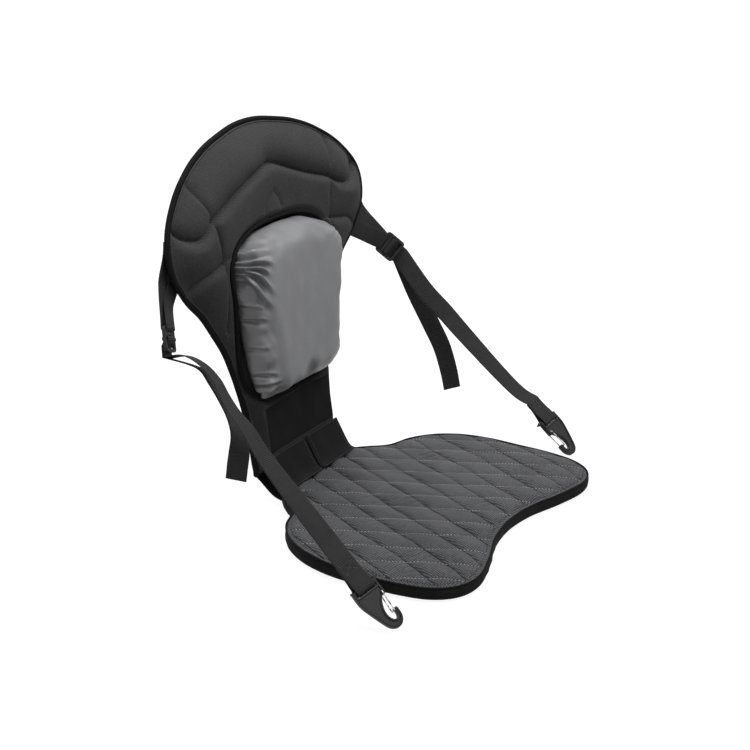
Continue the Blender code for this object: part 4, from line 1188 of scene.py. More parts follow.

# %% [markdown]
# The rear is one plain cloth over the stiff sheet, which stops short of the rim and shows as a low
# step. Two rows of stitches hold the cloth there.

# %% Rear cloth
REAR_SHARES = (*np.linspace(1.0, 0.78, 30), 0.65, 0.5, 0.35, 0.2, 0.1, 0.0005)
REAR_DASHES = (0.0042, 0.0030, 0.00034)
# How far inside the rim each row of stitches runs, and its depth
REAR_SEAMS = ((0.0100, REAR_FACE - 0.0003), (0.0165, REAR_FACE - 0.0008))


def rear_depth(x, v):
    """The rear cloth's place: at the rim, over the stiff sheet, and a little slack in between."""
    from_rim = away_from(back_outline, x, v, closed=True)[0]
    sunk = smoothstep((from_rim - 0.002) / 0.009)
    raised = 0.0009 * smoothstep((from_rim - 0.0150) / 0.003)
    slack = 0.00035 * lumpy(x, v, 61, 0.09) * smoothstep((from_rim - 0.02) / 0.03)
    return REAR_RIM + (REAR_FACE - 0.0005 - REAR_RIM) * sunk - raised - slack


rear_rows = ring_rows(rings_between(middle, outer, REAR_SHARES), rear_depth)
rear_cloth = add_piece("rear_cloth", np.vstack(rear_rows), lattice(len(rear_rows), BACK_POINTS, True),
                       "rear_cloth", stands_for="backrest_rear_cover", slot="black_cloth")
rear_seams = []
for drawn, depth in REAR_SEAMS:
    seam = [face_point(p.x, p.y, depth) for p in inset(back_outline, drawn)]
    rear_seams.append(stitch_row(seam + seam[:1], -FORWARD, *REAR_DASHES))
add_piece("rear_stitches", *join_rows(rear_seams), "grey_thread", slot="black_cloth")

# %% [markdown]
# ## The lumbar pillow
# The pillow is coated nylon over soft fill. It starts as rings that follow the recess and step out
# to its front: a closed, crowned form of the right size, which the next cells make soft.

# %% Pillow shape
PILLOW_MARGIN = 0.0060
PILLOW_DEPTH = 0.0535
PILLOW_TAPER = 0.25
PILLOW_COUNT = 240
PILLOW_START = 0.0015
VOXEL = 0.0046
SWELL_CAP = 0.0040
pillow_low = RECESS_FLOOR + 0.0006
pillow_top = RECESS_FOOT + RECESS_HEIGHT
pillow_base = resample(inset(recess_curve, PILLOW_MARGIN + PILLOW_START), PILLOW_COUNT, True)
pillow_middle = sum(pillow_base, Vector((0.0, 0.0))) / PILLOW_COUNT
# How far the cloth is drawn in, and its share of the depth
PILLOW_LAYERS = ((0.0110, 0.000), (0.0040, 0.055), (0.0, 0.20), (-0.0005, 0.42), (0.0016, 0.66),
                 (0.0052, 0.87), (0.0140, 0.962), (0.0300, 0.992), (0.0600, 1.0))


def pillow_ring(inward, share, shrink=1.0):
    """One ring of the pillow: drawn in by a distance, at a share of its depth, and shrunk."""
    ring = [p + (pillow_middle - p).normalized() * min(inward, 0.8 * (pillow_middle - p).length)
            for p in pillow_base]
    x = pillow_middle.x + (np.array([p.x for p in ring]) - pillow_middle.x) * shrink
    v = pillow_middle.y + (np.array([p.y for p in ring]) - pillow_middle.y) * shrink
    depth = (PILLOW_DEPTH - PILLOW_START) * (1 - PILLOW_TAPER * (pillow_top - v) / RECESS_HEIGHT)
    return face_points(x[None], v[None], (pillow_low + depth * share)[None])[0]


pillow_rings = [pillow_ring(0.0400, 0.0, 0.01)]
pillow_rings += [pillow_ring(layer.x, layer.y) for layer in catmull(PILLOW_LAYERS, 3, False)]
pillow_rings += [pillow_ring(0.0600, 1.0 + 0.02 * (1 - shrink), shrink) for shrink in (0.75, 0.5, 0.25, 0.01)]
gathered_pillow = add_piece("gathered_pillow", np.vstack(pillow_rings),
                            lattice(len(pillow_rings), PILLOW_COUNT, True), "coated_nylon",
                            stands_for="lumbar_pillow")

# %% [markdown]
# Swelling is a change of the piece's own points, so three helpers come first: one reads the points
# as the modifiers leave them, one keeps a modifier's result in the mesh, and one measures points
# on the reclined face.


# %% Reading and keeping a modifier's result
def evaluated_points(piece):
    """The points of a piece as its modifiers leave it."""
    bpy.context.view_layer.update()
    seen = piece.evaluated_get(bpy.context.evaluated_depsgraph_get()).to_mesh()
    found = np.empty(len(seen.vertices) * 3)
    seen.vertices.foreach_get("co", found)
    return found.reshape(-1, 3)


def bake(piece, kind, **settings):
    """Adds one modifier, keeps its result in the mesh and removes it."""
    modifier = piece.modifiers.new(kind.lower(), kind)
    for key, value in settings.items():
        setattr(modifier, key, value)
    bpy.context.view_layer.update()
    result = bpy.data.meshes.new_from_object(piece.evaluated_get(bpy.context.evaluated_depsgraph_get()))
    piece.modifiers.remove(modifier)
    piece.data = result


def face_places(points):
    """Across, up and forward of points, as the reclined face measures them."""
    x = points[:, 0]
    rest = points - np.array([0.0, BACK_PLANE_Y, 0.0])
    up, forward = rest @ np.array([0.0, *UP_FACE.yz]), rest @ np.array([0.0, *FORWARD.yz])
    return x, up, forward - BACK_WRAP * x * x


print("modifier helpers ready")

# %% [markdown]
# An even voxel mesh swells evenly. It is let swell as cloth under a little pressure, held at its
# seam, which gives the taut front and the slack near the corners. The moves are capped and
# smoothed, so that no fold of the simulation's own spoils the outline.

# %% Swell it as cloth
SWELL_FRAMES = 20
bake(gathered_pillow, "REMESH", mode="VOXEL", voxel_size=VOXEL)
bake(gathered_pillow, "SMOOTH", factor=0.5, iterations=6)
before = evaluated_points(gathered_pillow)
_, _, forward = face_places(before)
held = gathered_pillow.vertex_groups.new(name="seam")
held.add([int(i) for i in np.flatnonzero(forward < pillow_low + 0.010)], 1.0, "REPLACE")
swelling = gathered_pillow.modifiers.new("swelling", "CLOTH")
swelling.settings.use_pressure = True
swelling.settings.uniform_pressure_force = 4.0
swelling.settings.effector_weights.gravity = 0.0
swelling.settings.vertex_group_mass = "seam"
swelling.settings.shrink_min = -0.035
for frame_number in range(1, SWELL_FRAMES + 1):
    bpy.context.scene.frame_set(frame_number)
moved = evaluated_points(gathered_pillow) - before
gathered_pillow.modifiers.remove(swelling)
bpy.context.scene.frame_set(1)
length = np.linalg.norm(moved, axis=1, keepdims=True)
capped = before + moved * np.minimum(1.0, SWELL_CAP / np.maximum(length, 1e-9))
gathered_pillow.data.vertices.foreach_set("co", capped.ravel())
print("pillow swelled, at most", round(float(length.max()) * 1000, 1), "mm before the cap")
bake(gathered_pillow, "SMOOTH", factor=0.5, iterations=12)
bake(gathered_pillow, "SUBSURF", levels=2, render_levels=2)

# %% [markdown]
# The gathers come after the swelling, because they are narrower than a voxel. Each fold is a line
# that is deepest at the corner and dies away, and the cloth beside it stands up a little.

# %% Lines of the gathers
FAR_HALF = 0.10
FOLD_GAIN = 1.2
HOLLOW_DEPTH = 0.0036
CRUMPLE_DEPTH = 0.0009
HOLLOW = ((-0.082, 0.256), (-0.076, 0.226), (-0.070, 0.190), (-0.064, 0.160))
# Each fold on the near half: its line on the face, its depth and its half width
FOLDS = (
    (((-0.101, 0.322), (-0.094, 0.332), (-0.078, 0.338), (-0.056, 0.338), (-0.034, 0.333)), 0.0040, 0.0030),
    (((-0.100, 0.320), (-0.088, 0.325), (-0.072, 0.324), (-0.056, 0.319)), 0.0042, 0.0022),
    (((-0.101, 0.317), (-0.088, 0.317), (-0.076, 0.312), (-0.066, 0.305)), 0.0046, 0.0020),
    (((-0.101, 0.314), (-0.092, 0.310), (-0.083, 0.302), (-0.076, 0.292)), 0.0044, 0.0019),
    (((-0.102, 0.311), (-0.096, 0.302), (-0.088, 0.290), (-0.078, 0.278), (-0.066, 0.268)), 0.0052, 0.0025),
    (((-0.103, 0.306), (-0.100, 0.292), (-0.094, 0.278), (-0.084, 0.262), (-0.074, 0.252)), 0.0050, 0.0023),
    (((-0.104, 0.298), (-0.103, 0.280), (-0.099, 0.262), (-0.092, 0.250)), 0.0036, 0.0021),
    (((-0.099, 0.326), (-0.094, 0.340), (-0.084, 0.349)), 0.0030, 0.0019),
    (((-0.101, 0.270), (-0.093, 0.262), (-0.088, 0.254)), 0.0030, 0.0017),
    (((-0.100, 0.250), (-0.090, 0.244), (-0.082, 0.236)), 0.0026, 0.0019),
    (((-0.096, 0.212), (-0.088, 0.206), (-0.080, 0.204)), 0.0018, 0.0020),
    (((-0.090, 0.176), (-0.080, 0.172), (-0.070, 0.165)), 0.0026, 0.0018),
    (((-0.087, 0.162), (-0.075, 0.160), (-0.062, 0.154)), 0.0034, 0.0018),
    (((-0.084, 0.152), (-0.072, 0.151), (-0.054, 0.147)), 0.0036, 0.0020),
    (((-0.078, 0.144), (-0.062, 0.142), (-0.040, 0.140)), 0.0032, 0.0019),
)
print("folds:", len(FOLDS))


# %% How deep the gathers are
def gather_depth(x, v):
    """How far the gathers push the cloth in. The far half was sewn with less slack."""
    strength = np.where(x < 0, 1.0, FAR_HALF)
    x = -np.abs(x)
    total = np.zeros_like(x)
    for line, depth, half in FOLDS:
        path = catmull(line, 6, False)
        away, stretch = away_from(path, x, v)
        share = stretch / (len(path) - 2)
        fade = 1 - smoothstep((share - 0.25) / 0.75) * 0.95
        wide = half * (0.7 + 1.0 * share)
        beside = 0.60 * np.exp(-((away - 2.0 * wide) / wide) ** 2)
        total += FOLD_GAIN * depth * fade * (np.exp(-(away / wide) ** 2) - beside)
    away, _ = away_from(HOLLOW, x, v)
    crumple = np.exp(-(((x + 0.092) / 0.016) ** 2)) * lumpy(x, v, 47, 0.013)
    hollow = np.exp(-(away / 0.0120) ** 2)
    return strength * (total + HOLLOW_DEPTH * hollow + CRUMPLE_DEPTH * crumple)


print("on the far half the gathers are", FAR_HALF, "times as deep")

# %% [markdown]
# Last, every point is pushed in along its normal by the depth of the gathers. Two broad moves go
# with it: the fill slumps into the foot's corners, and the far side stands fuller at its waist.

# %% Gathers at the corners
CORNER_SLUMP = 0.0050
# The slump's middle, across and up the face
SLUMP_AT = (0.074, 0.146)
SLUMP_REACH = 0.016
WAIST_SWELL = 0.0062
WAIST_AT = 0.272
WAIST_REACH = 0.050
points = evaluated_points(gathered_pillow)
mesh = gathered_pillow.data
normals = np.empty(len(mesh.vertices) * 3)
mesh.vertices.foreach_get("normal", normals)
across, up, forward = face_places(points)
loose = smoothstep((forward - pillow_low - 0.003) / 0.012)
sink = gather_depth(across, up) * loose + 0.0004 * loose * lumpy(across, up, 41, 0.040)
points -= normals.reshape(-1, 3) * sink[:, None]
from_corner = (np.abs(across) - SLUMP_AT[0]) ** 2 + (up - SLUMP_AT[1]) ** 2
corner = CORNER_SLUMP * loose * np.exp(-from_corner / (2 * SLUMP_REACH ** 2))
waist = loose * smoothstep((across - 0.04) / 0.03) * np.exp(-((up - WAIST_AT) / WAIST_REACH) ** 2)
points[:, 0] += np.sign(across) * corner * 0.6 + WAIST_SWELL * waist
points -= np.array([0.0, *UP_FACE.yz])[None] * (corner * 0.8)[:, None]
mesh.vertices.foreach_set("co", points.ravel())
mesh.polygons.foreach_set("use_smooth", [True] * len(mesh.polygons))
mesh.update()
print("pillow faces:", len(mesh.polygons))

# %% [markdown]
# ## Cloth below the pillow
# A plain panel covers the foam's foot, a cloth hinge joins backrest and pad, and two tabs close
# over the joint.


# %% A sheet with turned edges
def folded_sheet(name, profile, columns, thickness, lean, stands_for, rounding, wraps=(0.0, 0.0)):
    """A sheet swept across x along a profile. Its wraps bend its two ends round the backrest."""
    path = catmull(profile, 8, False)
    count, wide = len(path), len(columns)
    fronts, backs = [], []
    for r, here in enumerate(path):
        edge_v = min(1.0, min(r, count - 1 - r) / 3)
        wrap = wraps[0] + (wraps[1] - wraps[0]) * r / (count - 1)
        for c, x in enumerate(columns):
            edge_u = min(1.0, min(c, wide - 1 - c) / 2)
            thin = min(rounding * (2 - edge_u - edge_v), thickness * 0.45)
            wave = 0.0004 * math.sin(x * 160 + here[1] * 90) * edge_u * edge_v
            spot = Vector((x, here[0], here[1])) + FORWARD * wrap * x * x
            fronts.append(spot + lean * (thickness - thin + wave))
            backs.append(spot + lean * thin)
    shift = len(fronts)
    faces = lattice(count, wide)
    faces += [tuple(shift + i for i in reversed(f)) for f in faces]
    border = (list(range(wide)) + [r * wide + wide - 1 for r in range(1, count)]
              + [(count - 1) * wide + c for c in range(wide - 2, -1, -1)]
              + [r * wide for r in range(count - 2, 0, -1)])
    faces += [(a, b, shift + b, shift + a) for a, b in zip(border, border[1:] + border[:1])]
    piece = add_piece(name, fronts + backs, faces, "black_cloth", stands_for=stands_for, sharp=50)
    flat = (columns[-1] - columns[0], reaches(path)[-1])
    print(name, "is cut", round(flat[0], 3), "by", round(flat[1], 3))


def columns_across(width, middle=0.0, steps=26):
    return [middle - width / 2 + width * k / steps for k in range(steps + 1)]


print("sheet maker ready")

# %% [markdown]
# The panel lies flat on the foam. The hinge is sewn on behind the rear cloth, bends round under
# the backrest's foot and meets the pad's band.

# %% Panel and hinge
PANEL_CLOTH = 0.0009
HINGE_WIDTH = 0.158
HINGE_CLOTH = 0.0020
HINGE_LEAN = Vector((0.0, 0.72, -0.70)).normalized()
panel_spots = [face_point(0.0, v, FOAM_FULL + 0.0003) for v in
               (LUMBAR_PANEL_FOOT, (LUMBAR_PANEL_FOOT + LUMBAR_PANEL_TOP) / 2, LUMBAR_PANEL_TOP)]
folded_sheet("lumbar_cloth", [(p.y, p.z) for p in panel_spots], columns_across(LUMBAR_PANEL_WIDTH),
             PANEL_CLOTH, FORWARD, "lumbar_panel", 0.0004, (BACK_WRAP, BACK_WRAP))

foot_rear = face_point(0.0, BACK_FOOT, 0.0)
hinge_top = foot_rear.z - 0.0022 - CLEARANCE * 4
hinge_profile = (
    (foot_rear.y + 0.0052, foot_rear.z + 0.0110), (foot_rear.y + 0.0046, foot_rear.z),
    (foot_rear.y - 0.0010, hinge_top - 0.0008), (foot_rear.y - 0.0070, hinge_top - 0.0050),
    (PAD_BACK_Y + 0.0150, 0.0130), (PAD_BACK_Y + CLEARANCE * 3, 0.0080),
)
folded_sheet("cloth_hinge", hinge_profile, columns_across(HINGE_WIDTH), HINGE_CLOTH, HINGE_LEAN,
             "hinge_panel", 0.0004, (BACK_WRAP, 0.0))

# %% [markdown]
# The two tabs hang from the backrest's foot and lie on the pad's back edge. Each is stitched all
# round, a little inside its edges.

# %% Closure tabs
TAB_WIDTH = 0.0770
TAB_SPLIT = 0.0030
TAB_CLOTH = 0.0028
TAB_TOP_Z = 0.0670
TAB_LAP = 0.0130
TAB_LEAN = Vector((0.0, -0.80, 0.60))
TAB_DASHES = (0.0036, 0.0026, 0.00034)
TAB_INSIDE = 0.43
tab_top = face_point(0.0, TAB_TOP_Z, FOAM_FULL + CLEARANCE * 2)
tab_top_y = face_point(TAB_WIDTH, TAB_TOP_Z, FOAM_FULL + CLEARANCE * 4).y
tab_rest_z = PAD_THICKNESS + 0.0032 + CLEARANCE * 2 + 0.0020
tab_profile = (
    (tab_top_y, tab_top.z - 0.006), (tab_top_y - 0.0045, tab_top.z - 0.014),
    (PAD_BACK_Y - 0.0030, tab_rest_z + 0.0035), (PAD_BACK_Y - TAB_LAP, tab_rest_z),
)
tab_path = catmull(tab_profile, 8, False)
tab_rows = []


def on_tab(middle, share, spot):
    """A point on a tab's front, at a share of its width and a point of its profile."""
    return Vector((middle + TAB_WIDTH * share, *spot)) + TAB_LEAN * TAB_CLOTH


for side, sign in (("left", -1.0), ("right", 1.0)):
    middle_x = sign * (TAB_WIDTH + TAB_SPLIT) / 2
    folded_sheet("tab_" + side, tab_profile, columns_across(TAB_WIDTH, middle_x), TAB_CLOTH, TAB_LEAN,
                 "closure_tab_" + side, 0.0010)
    lines = [[on_tab(middle_x, share, spot) for spot in tab_path[1:-1]]
             for share in (-TAB_INSIDE, TAB_INSIDE)]
    lines += [[on_tab(middle_x, (k / 5 - 1) * TAB_INSIDE, tab_path[row]) for k in range(11)]
              for row in (2, len(tab_path) - 3)]
    tab_rows += [stitch_row(line, TAB_LEAN, *TAB_DASHES) for line in lines]
add_piece("tab_stitches", *join_rows(tab_rows), "grey_thread", slot="black_cloth")

# %% [markdown]
# ## Webbing, buckles and hooks
# Each side has a sewn V of webbing behind the rim, a ladder buckle, and one long strap that runs
# from a sewn loop on the hook, through the buckle, to a loose tail. The strap's path is the
# model's own, with finer steps and rounded edges, because a simulation would pull it off its bars.

# %% Sizes of straps and fittings
WEBBING_WIDTH = 0.0250
WEBBING_THICKNESS = 0.0015
YOKE_SEWN_LENGTH = 0.0420
YOKE_CLEAR = 0.0150
BUCKLE_WIDTH = 0.0330
BUCKLE_THICKNESS = 0.0040
BUCKLE_BAR = 0.0040
BUCKLE_PITCH = 0.0130
HOOK_THICKNESS = 0.0070
HOOK_BAR_SETBACK = 0.0074
GATE_WIRE_RADIUS = 0.0009
GATE_PIVOT = (0.0132, 0.0072)
GATE_END = (0.0104, 0.0330)
SEWN_LOOP = 0.0340
HOOK_OUTLINE_MM = (
    (-15.5, -9.5), (15.0, -9.5), (16.5, -8.0), (16.5, 9.0), (15.0, 11.5), (11.5, 12.0), (8.0, 15.0),
    (5.0, 20.0), (2.5, 26.0), (1.8, 32.0), (2.8, 37.0), (5.5, 40.5), (8.8, 40.8), (11.0, 38.0),
    (11.6, 34.0), (11.6, 30.5), (16.2, 30.5), (16.6, 36.0), (15.6, 42.0), (12.5, 47.0), (8.0, 50.0),
    (3.0, 50.3), (-1.5, 48.2), (-5.5, 44.0), (-9.5, 34.0), (-13.5, 22.0), (-17.0, 10.0),
    (-17.5, 0.0), (-17.0, -8.0),
)
print("hook outline points:", len(HOOK_OUTLINE_MM))

# %% [markdown]
# The two sides hold the same pieces. They differ only in where the hook and the buckle hang and
# in how the strap and its loose tail fall, so those numbers are all that each side is given. Both
# are written for +X, and the sign mirrors the left one.

# %% Where each side hangs
SIDES = {
    "left": {
        "sign": -1.0,
        "yoke_legs": ((0.2160, 0.3320), (0.2080, 0.3130)),
        "buckle_at": (0.2420, 0.2020, 0.2700), "buckle_axis": (0.30, -0.32, -0.90), "buckle_turn": 22.0,
        "hook_at": (0.2790, -0.0860, 0.0372), "hook_axis": (0.06, -0.76, -0.65), "hook_turn": -26.0,
        "main": ((0.2490, 0.1732, 0.2572), (0.2520, 0.1478, 0.2526), (0.2545, 0.1279, 0.2391),
                 (0.2560, 0.1158, 0.2220), (0.2575, 0.1022, 0.2058), (0.2600, 0.0812, 0.1879),
                 (0.2640, 0.0506, 0.1546), (0.2710, -0.0260, 0.0870)),
        "tail": ((0.2455, 0.1707, 0.2461), (0.2440, 0.1536, 0.2410), (0.2430, 0.1423, 0.2269),
                 (0.2420, 0.1298, 0.2082), (0.2410, 0.1187, 0.1878), (0.2400, 0.1118, 0.1678),
                 (0.2390, 0.1105, 0.1476), (0.2380, 0.1140, 0.1287), (0.2370, 0.1175, 0.1097)),
        "tail_turn": 82.0, "tail_held": 0.095,
    },
    "right": {
        "sign": 1.0,
        "yoke_legs": ((0.2150, 0.3180), (0.1980, 0.2960)),
        "buckle_at": (0.2460, 0.1900, 0.2590), "buckle_axis": (0.35, -0.68, -0.65), "buckle_turn": 53.0,
        "hook_at": (0.2570, -0.0610, 0.0402), "hook_axis": (0.05, -0.72, -0.69), "hook_turn": 14.0,
        "main": ((0.2500, 0.1380, 0.2050), (0.2530, 0.1060, 0.1760), (0.2540, 0.0750, 0.1480),
                 (0.2550, 0.0200, 0.1010), (0.2550, -0.0120, 0.0775)),
        "tail": ((0.2600, 0.1570, 0.1960), (0.2570, 0.1280, 0.1510), (0.2550, 0.1100, 0.1220),
                 (0.2520, 0.0970, 0.0900), (0.2500, 0.0900, 0.0650)),
        "tail_turn": 8.0, "tail_held": 0.0,
    },
}
print("sides:", list(SIDES))


# %% [markdown]
# A buckle or hook has a frame of its own, with y along the strap. The strap is laid out in those
# frames, goes round their bars in arcs, and turns its width evenly from one fitting to the next.


# %% Frames, arcs and flat webbing
def square_to(wide, along):
    """The part of a direction that is square to another."""
    return (wide - wide.dot(along) * along).normalized()


def heading(path, i):
    """Which way an open line runs at one of its points."""
    return (path[min(i + 1, len(path) - 1)] - path[max(i - 1, 0)]).normalized()


def frame_from(origin, along, turn, sign):
    """A frame whose y runs along a direction and whose x points toward the pad, before the turn."""
    y = Vector(along).normalized()
    x = Matrix.Rotation(math.radians(turn), 3, y) @ square_to(Vector((-sign, 0.0, 0.0)), y)
    found = Matrix((x, y, x.cross(y))).transposed().to_4x4()
    found.translation = origin
    return found


def arc(frame_here, centre_y, radius, start, end, steps):
    """Points of an arc about a bar across the frame, angles in degrees from +y toward +z."""
    angles = [math.radians(start + (end - start) * k / steps) for k in range(steps + 1)]
    return [frame_here @ Vector((0.0, centre_y + radius * math.cos(a), radius * math.sin(a))) for a in angles]


def turned_widths(path, start, end, held=0.0):
    """Width directions that change evenly from one to another, after a length that keeps the first."""
    reach = reaches(path)
    return [start.lerp(end, float(smoothstep((r - held) / (reach[-1] - held)))).normalized() for r in reach]


# Half of the webbing's section, in shares of its width and thickness
WEBBING_EDGE = ((-0.5, -0.15), (-0.485, -0.42), (-0.40, -0.5), (-0.2, -0.5), (0.0, -0.5), (0.2, -0.5),
                (0.40, -0.5), (0.485, -0.42), (0.5, -0.15))
WEBBING_EDGE += tuple((-u, -w) for u, w in WEBBING_EDGE)


def add_webbing(name, path, widths, stands_for):
    """A flat strap with woven, slightly thick edges, along a centre line."""
    sections, strip = [], []
    for i, (here, wide, run) in enumerate(zip(path, widths, reaches(path))):
        along = heading(path, i)
        wide = square_to(wide, along)
        thick = along.cross(wide)
        sections.append([here + wide * u * WEBBING_WIDTH + thick * w * WEBBING_THICKNESS
                         for u, w in WEBBING_EDGE])
        strip += [(u * WEBBING_WIDTH, run) for u, _ in WEBBING_EDGE]
    points, faces, _ = sweep(sections, False)
    add_piece(name, points, faces, "black_webbing", stands_for=stands_for, strip=strip, sharp=60)


print("webbing maker ready")

# %% [markdown]
# Moulded fittings are flat plates with every edge rounded. The plate is built from its outline and
# holes, and its edge follows a quarter circle, as the mould's parting edges do.


# %% Rounded plates
PLATE_ROUNDING = 0.0012
PLATE_SLOPE = 0.0003


def add_plate(name, frame_here, loops, thickness, body, stands_for, rim=0.0, step=0.0):
    """A plate with rounded edges. With a rim, its faces are sunk by a step inside the rim's width."""
    half, rounding = thickness / 2, PLATE_ROUNDING
    profile = [(rounding * (1 - math.cos(a)), half - rounding + rounding * math.sin(a))
               for a in (math.pi / 2 * k / 4 for k in range(5))]
    if rim:
        profile += [(rounding + rim, half), (rounding + rim + PLATE_SLOPE, half - step * 0.3),
                    (rounding + rim + 2 * PLATE_SLOPE, half - step)]
    profile = [(drawn, -z) for drawn, z in reversed(profile)] + profile
    points, faces, caps = [], [], ([], [])
    for k, loop in enumerate(loops):
        loop = [Vector(p) for p in loop]
        start, count = len(points), len(loop)
        rings = [inset(loop, drawn if k == 0 else -drawn) for drawn, _ in profile]
        for ring, (_, z) in zip(rings, profile):
            points += [frame_here @ Vector((p.x, p.y, z)) for p in ring]
        faces += [tuple(start + i for i in face) for face in lattice(len(rings), count, True)]
        for cap, row in zip(caps, (0, len(rings) - 1)):
            cap.append((start + row * count, [Vector((p.x, p.y, 0.0)) for p in rings[row]]))
    for cap in caps:
        index = [first + i for first, ring in cap for i in range(len(ring))]
        faces += [tuple(index[k] for k in tri) for tri in tessellate_polygon([ring for _, ring in cap])]
    add_piece(name, points, faces, "moulded_nylon", body=body, stands_for=stands_for, sharp=38)


def rounded_box(half_w, low, high, corner, steps=4):
    """A rectangle with round corners."""
    found = []
    for cx, cy, start in ((half_w - corner, low + corner, -90), (half_w - corner, high - corner, 0),
                          (-half_w + corner, high - corner, 90), (-half_w + corner, low + corner, 180)):
        for k in range(steps + 1):
            a = math.radians(start + 90 * k / steps)
            found.append((cx + corner * math.cos(a), cy + corner * math.sin(a)))
    return found


print("plate maker ready")

# %% [markdown]
# Where webbing ends it is sewn down with a box of stitches and a cross in it. One maker draws the
# box flat, and each strap end says where a place across and along it lies in space.

# %% Sewn boxes
BOX_HALF = 0.0092
BOX_DASHES = (0.0026, 0.0021, 0.00028)


def sewn_box(spot_at, facing, low, high):
    """The stitches of a box with a cross, on a flat strap end that runs from low to high."""
    corners = [(-BOX_HALF, low), (BOX_HALF, low), (BOX_HALF, high), (-BOX_HALF, high)]
    ends = [*zip(corners, corners[1:] + corners[:1]), (corners[0], corners[2]), (corners[1], corners[3])]
    lines = [[spot_at(a[0] + (b[0] - a[0]) * k / 4, a[1] + (b[1] - a[1]) * k / 4) for k in range(5)]
             for a, b in ends]
    return [stitch_row(line, facing, *BOX_DASHES) for line in lines]


print("sewn box maker ready")

# %% [markdown]
# ## One side at a time
# All pieces of a side hang from two frames, the buckle's and the hook's. `Side` works those out
# once, with the side of each fitting that the webbing lies on.

# %% What the pieces of one side share
BUCKLE_WRAP = BUCKLE_BAR / 2 + WEBBING_THICKNESS / 2 + CLEARANCE + 0.0006
HOOK_WRAP = HOOK_THICKNESS / 2 + WEBBING_THICKNESS / 2 + CLEARANCE + 0.0006
BUCKLE_LENGTH = 2 * BUCKLE_PITCH + BUCKLE_BAR
HOOK_BAR_Y = -HOOK_BAR_SETBACK
STRAP_FOLD = WEBBING_THICKNESS + CLEARANCE * 1.5


class Side:
    """The frames and directions that one side's pieces share."""

    def __init__(self, name, spec):
        self.name, self.spec, self.sign = name, spec, spec["sign"]
        self.buckle, self.hook = self.frame_of("buckle"), self.frame_of("hook")
        self.buckle_wide, self.hook_wide = self.buckle.col[0].xyz, self.hook.col[0].xyz
        up = self.buckle.col[2].xyz
        faces_under = up.y > 0 if abs(up.z) < 0.4 else up.z < 0
        self.under = 1.0 if faces_under else -1.0
        self.hook_under = 1.0 if self.hook.col[2].z < 0 else -1.0

    def place(self, p):
        return Vector((self.sign * p[0], p[1], p[2]))

    def frame_of(self, fitting):
        return frame_from(self.place(self.spec[fitting + "_at"]), self.place(self.spec[fitting + "_axis"]),
                          self.sign * self.spec[fitting + "_turn"], self.sign)


sides = [Side(name, spec) for name, spec in SIDES.items()]
print("buckles at", [tuple(round(c, 3) for c in side.buckle.translation) for side in sides])

# %% [markdown]
# The adjuster strap is one piece of webbing. It starts in a sewn loop round the hook's bar, runs
# up to the buckle, goes over its middle bar and comes back out over itself as the loose tail.


# %% The adjuster strap
def sewn_loop(side):
    """The strap's sewn end round the hook's bar, and the layer that leaves it."""
    under = side.hook_under
    end = [side.hook @ Vector((0.0, HOOK_BAR_Y - SEWN_LOOP * share, under * HOOK_WRAP * lift))
           for share, lift in ((1.0, 0.0), (0.7, 0.0), (0.45, 0.25))]
    rise = [side.hook @ Vector((0.0, HOOK_BAR_Y - SEWN_LOOP * share,
                                -under * (HOOK_WRAP * (1 - t) + STRAP_FOLD * t)))
            for share, t in ((0.25, 0.35), (0.45, 0.78), (0.7, 1.0), (1.0, 1.0))]
    return (end + arc(side.hook, HOOK_BAR_Y, HOOK_WRAP, 115 * under, 90 * under, 1)[:-1]
            + arc(side.hook, HOOK_BAR_Y, HOOK_WRAP, 90 * under, -90 * under, 14) + rise)


def through_buckle(side):
    """The strap's way in, over the buckle's middle bar and back out."""
    near = BUCKLE_THICKNESS / 2 + WEBBING_THICKNESS / 2 + CLEARANCE * 2

    def at(y, z):
        return side.buckle @ Vector((0.0, y, side.under * z))

    return ([at(BUCKLE_PITCH + 0.0035, near), at(BUCKLE_PITCH - 0.0030, near),
             at(BUCKLE_PITCH * 0.5 + 0.0010, near * 0.45)]
            + arc(side.buckle, 0.0, BUCKLE_WRAP, -side.under * 40, -side.under * 320, 16)
            + [at(BUCKLE_PITCH * 0.62, near + STRAP_FOLD * 1.02), at(BUCKLE_PITCH, near + STRAP_FOLD * 1.1),
               at(BUCKLE_PITCH + 0.0080, near + STRAP_FOLD * 1.25)])


def add_adjuster(side):
    spec, wide = side.spec, side.buckle_wide
    loop, held = sewn_loop(side), through_buckle(side)
    entry = side.buckle @ Vector((0.0, BUCKLE_PITCH + 0.0075, side.under * (BUCKLE_THICKNESS / 2 + 0.0016)))
    run = catmull([loop[-1]] + [side.place(p) for p in reversed(spec["main"])] + [entry], 14, False)[1:]
    tail = catmull([held[-1]] + [side.place(p) for p in spec["tail"]], 12, False)[1:]
    tail_wide = Matrix.Rotation(math.radians(spec["tail_turn"]) * side.sign, 3, UPRIGHT) @ wide
    widths = ([side.hook_wide] * len(loop) + turned_widths(run, side.hook_wide, wide)
              + [wide] * len(held) + turned_widths(tail, wide, tail_wide, spec["tail_held"]))
    add_webbing("adjuster_" + side.name, loop + run + held + tail, widths, "adjuster_strap_" + side.name)


print("strap maker ready")

# %% [markdown]
# The yoke is a V of webbing: two legs sewn flat behind the rim, joined through the buckle's upper
# bar. Its sewn ends and the loop on the hook carry the boxes.


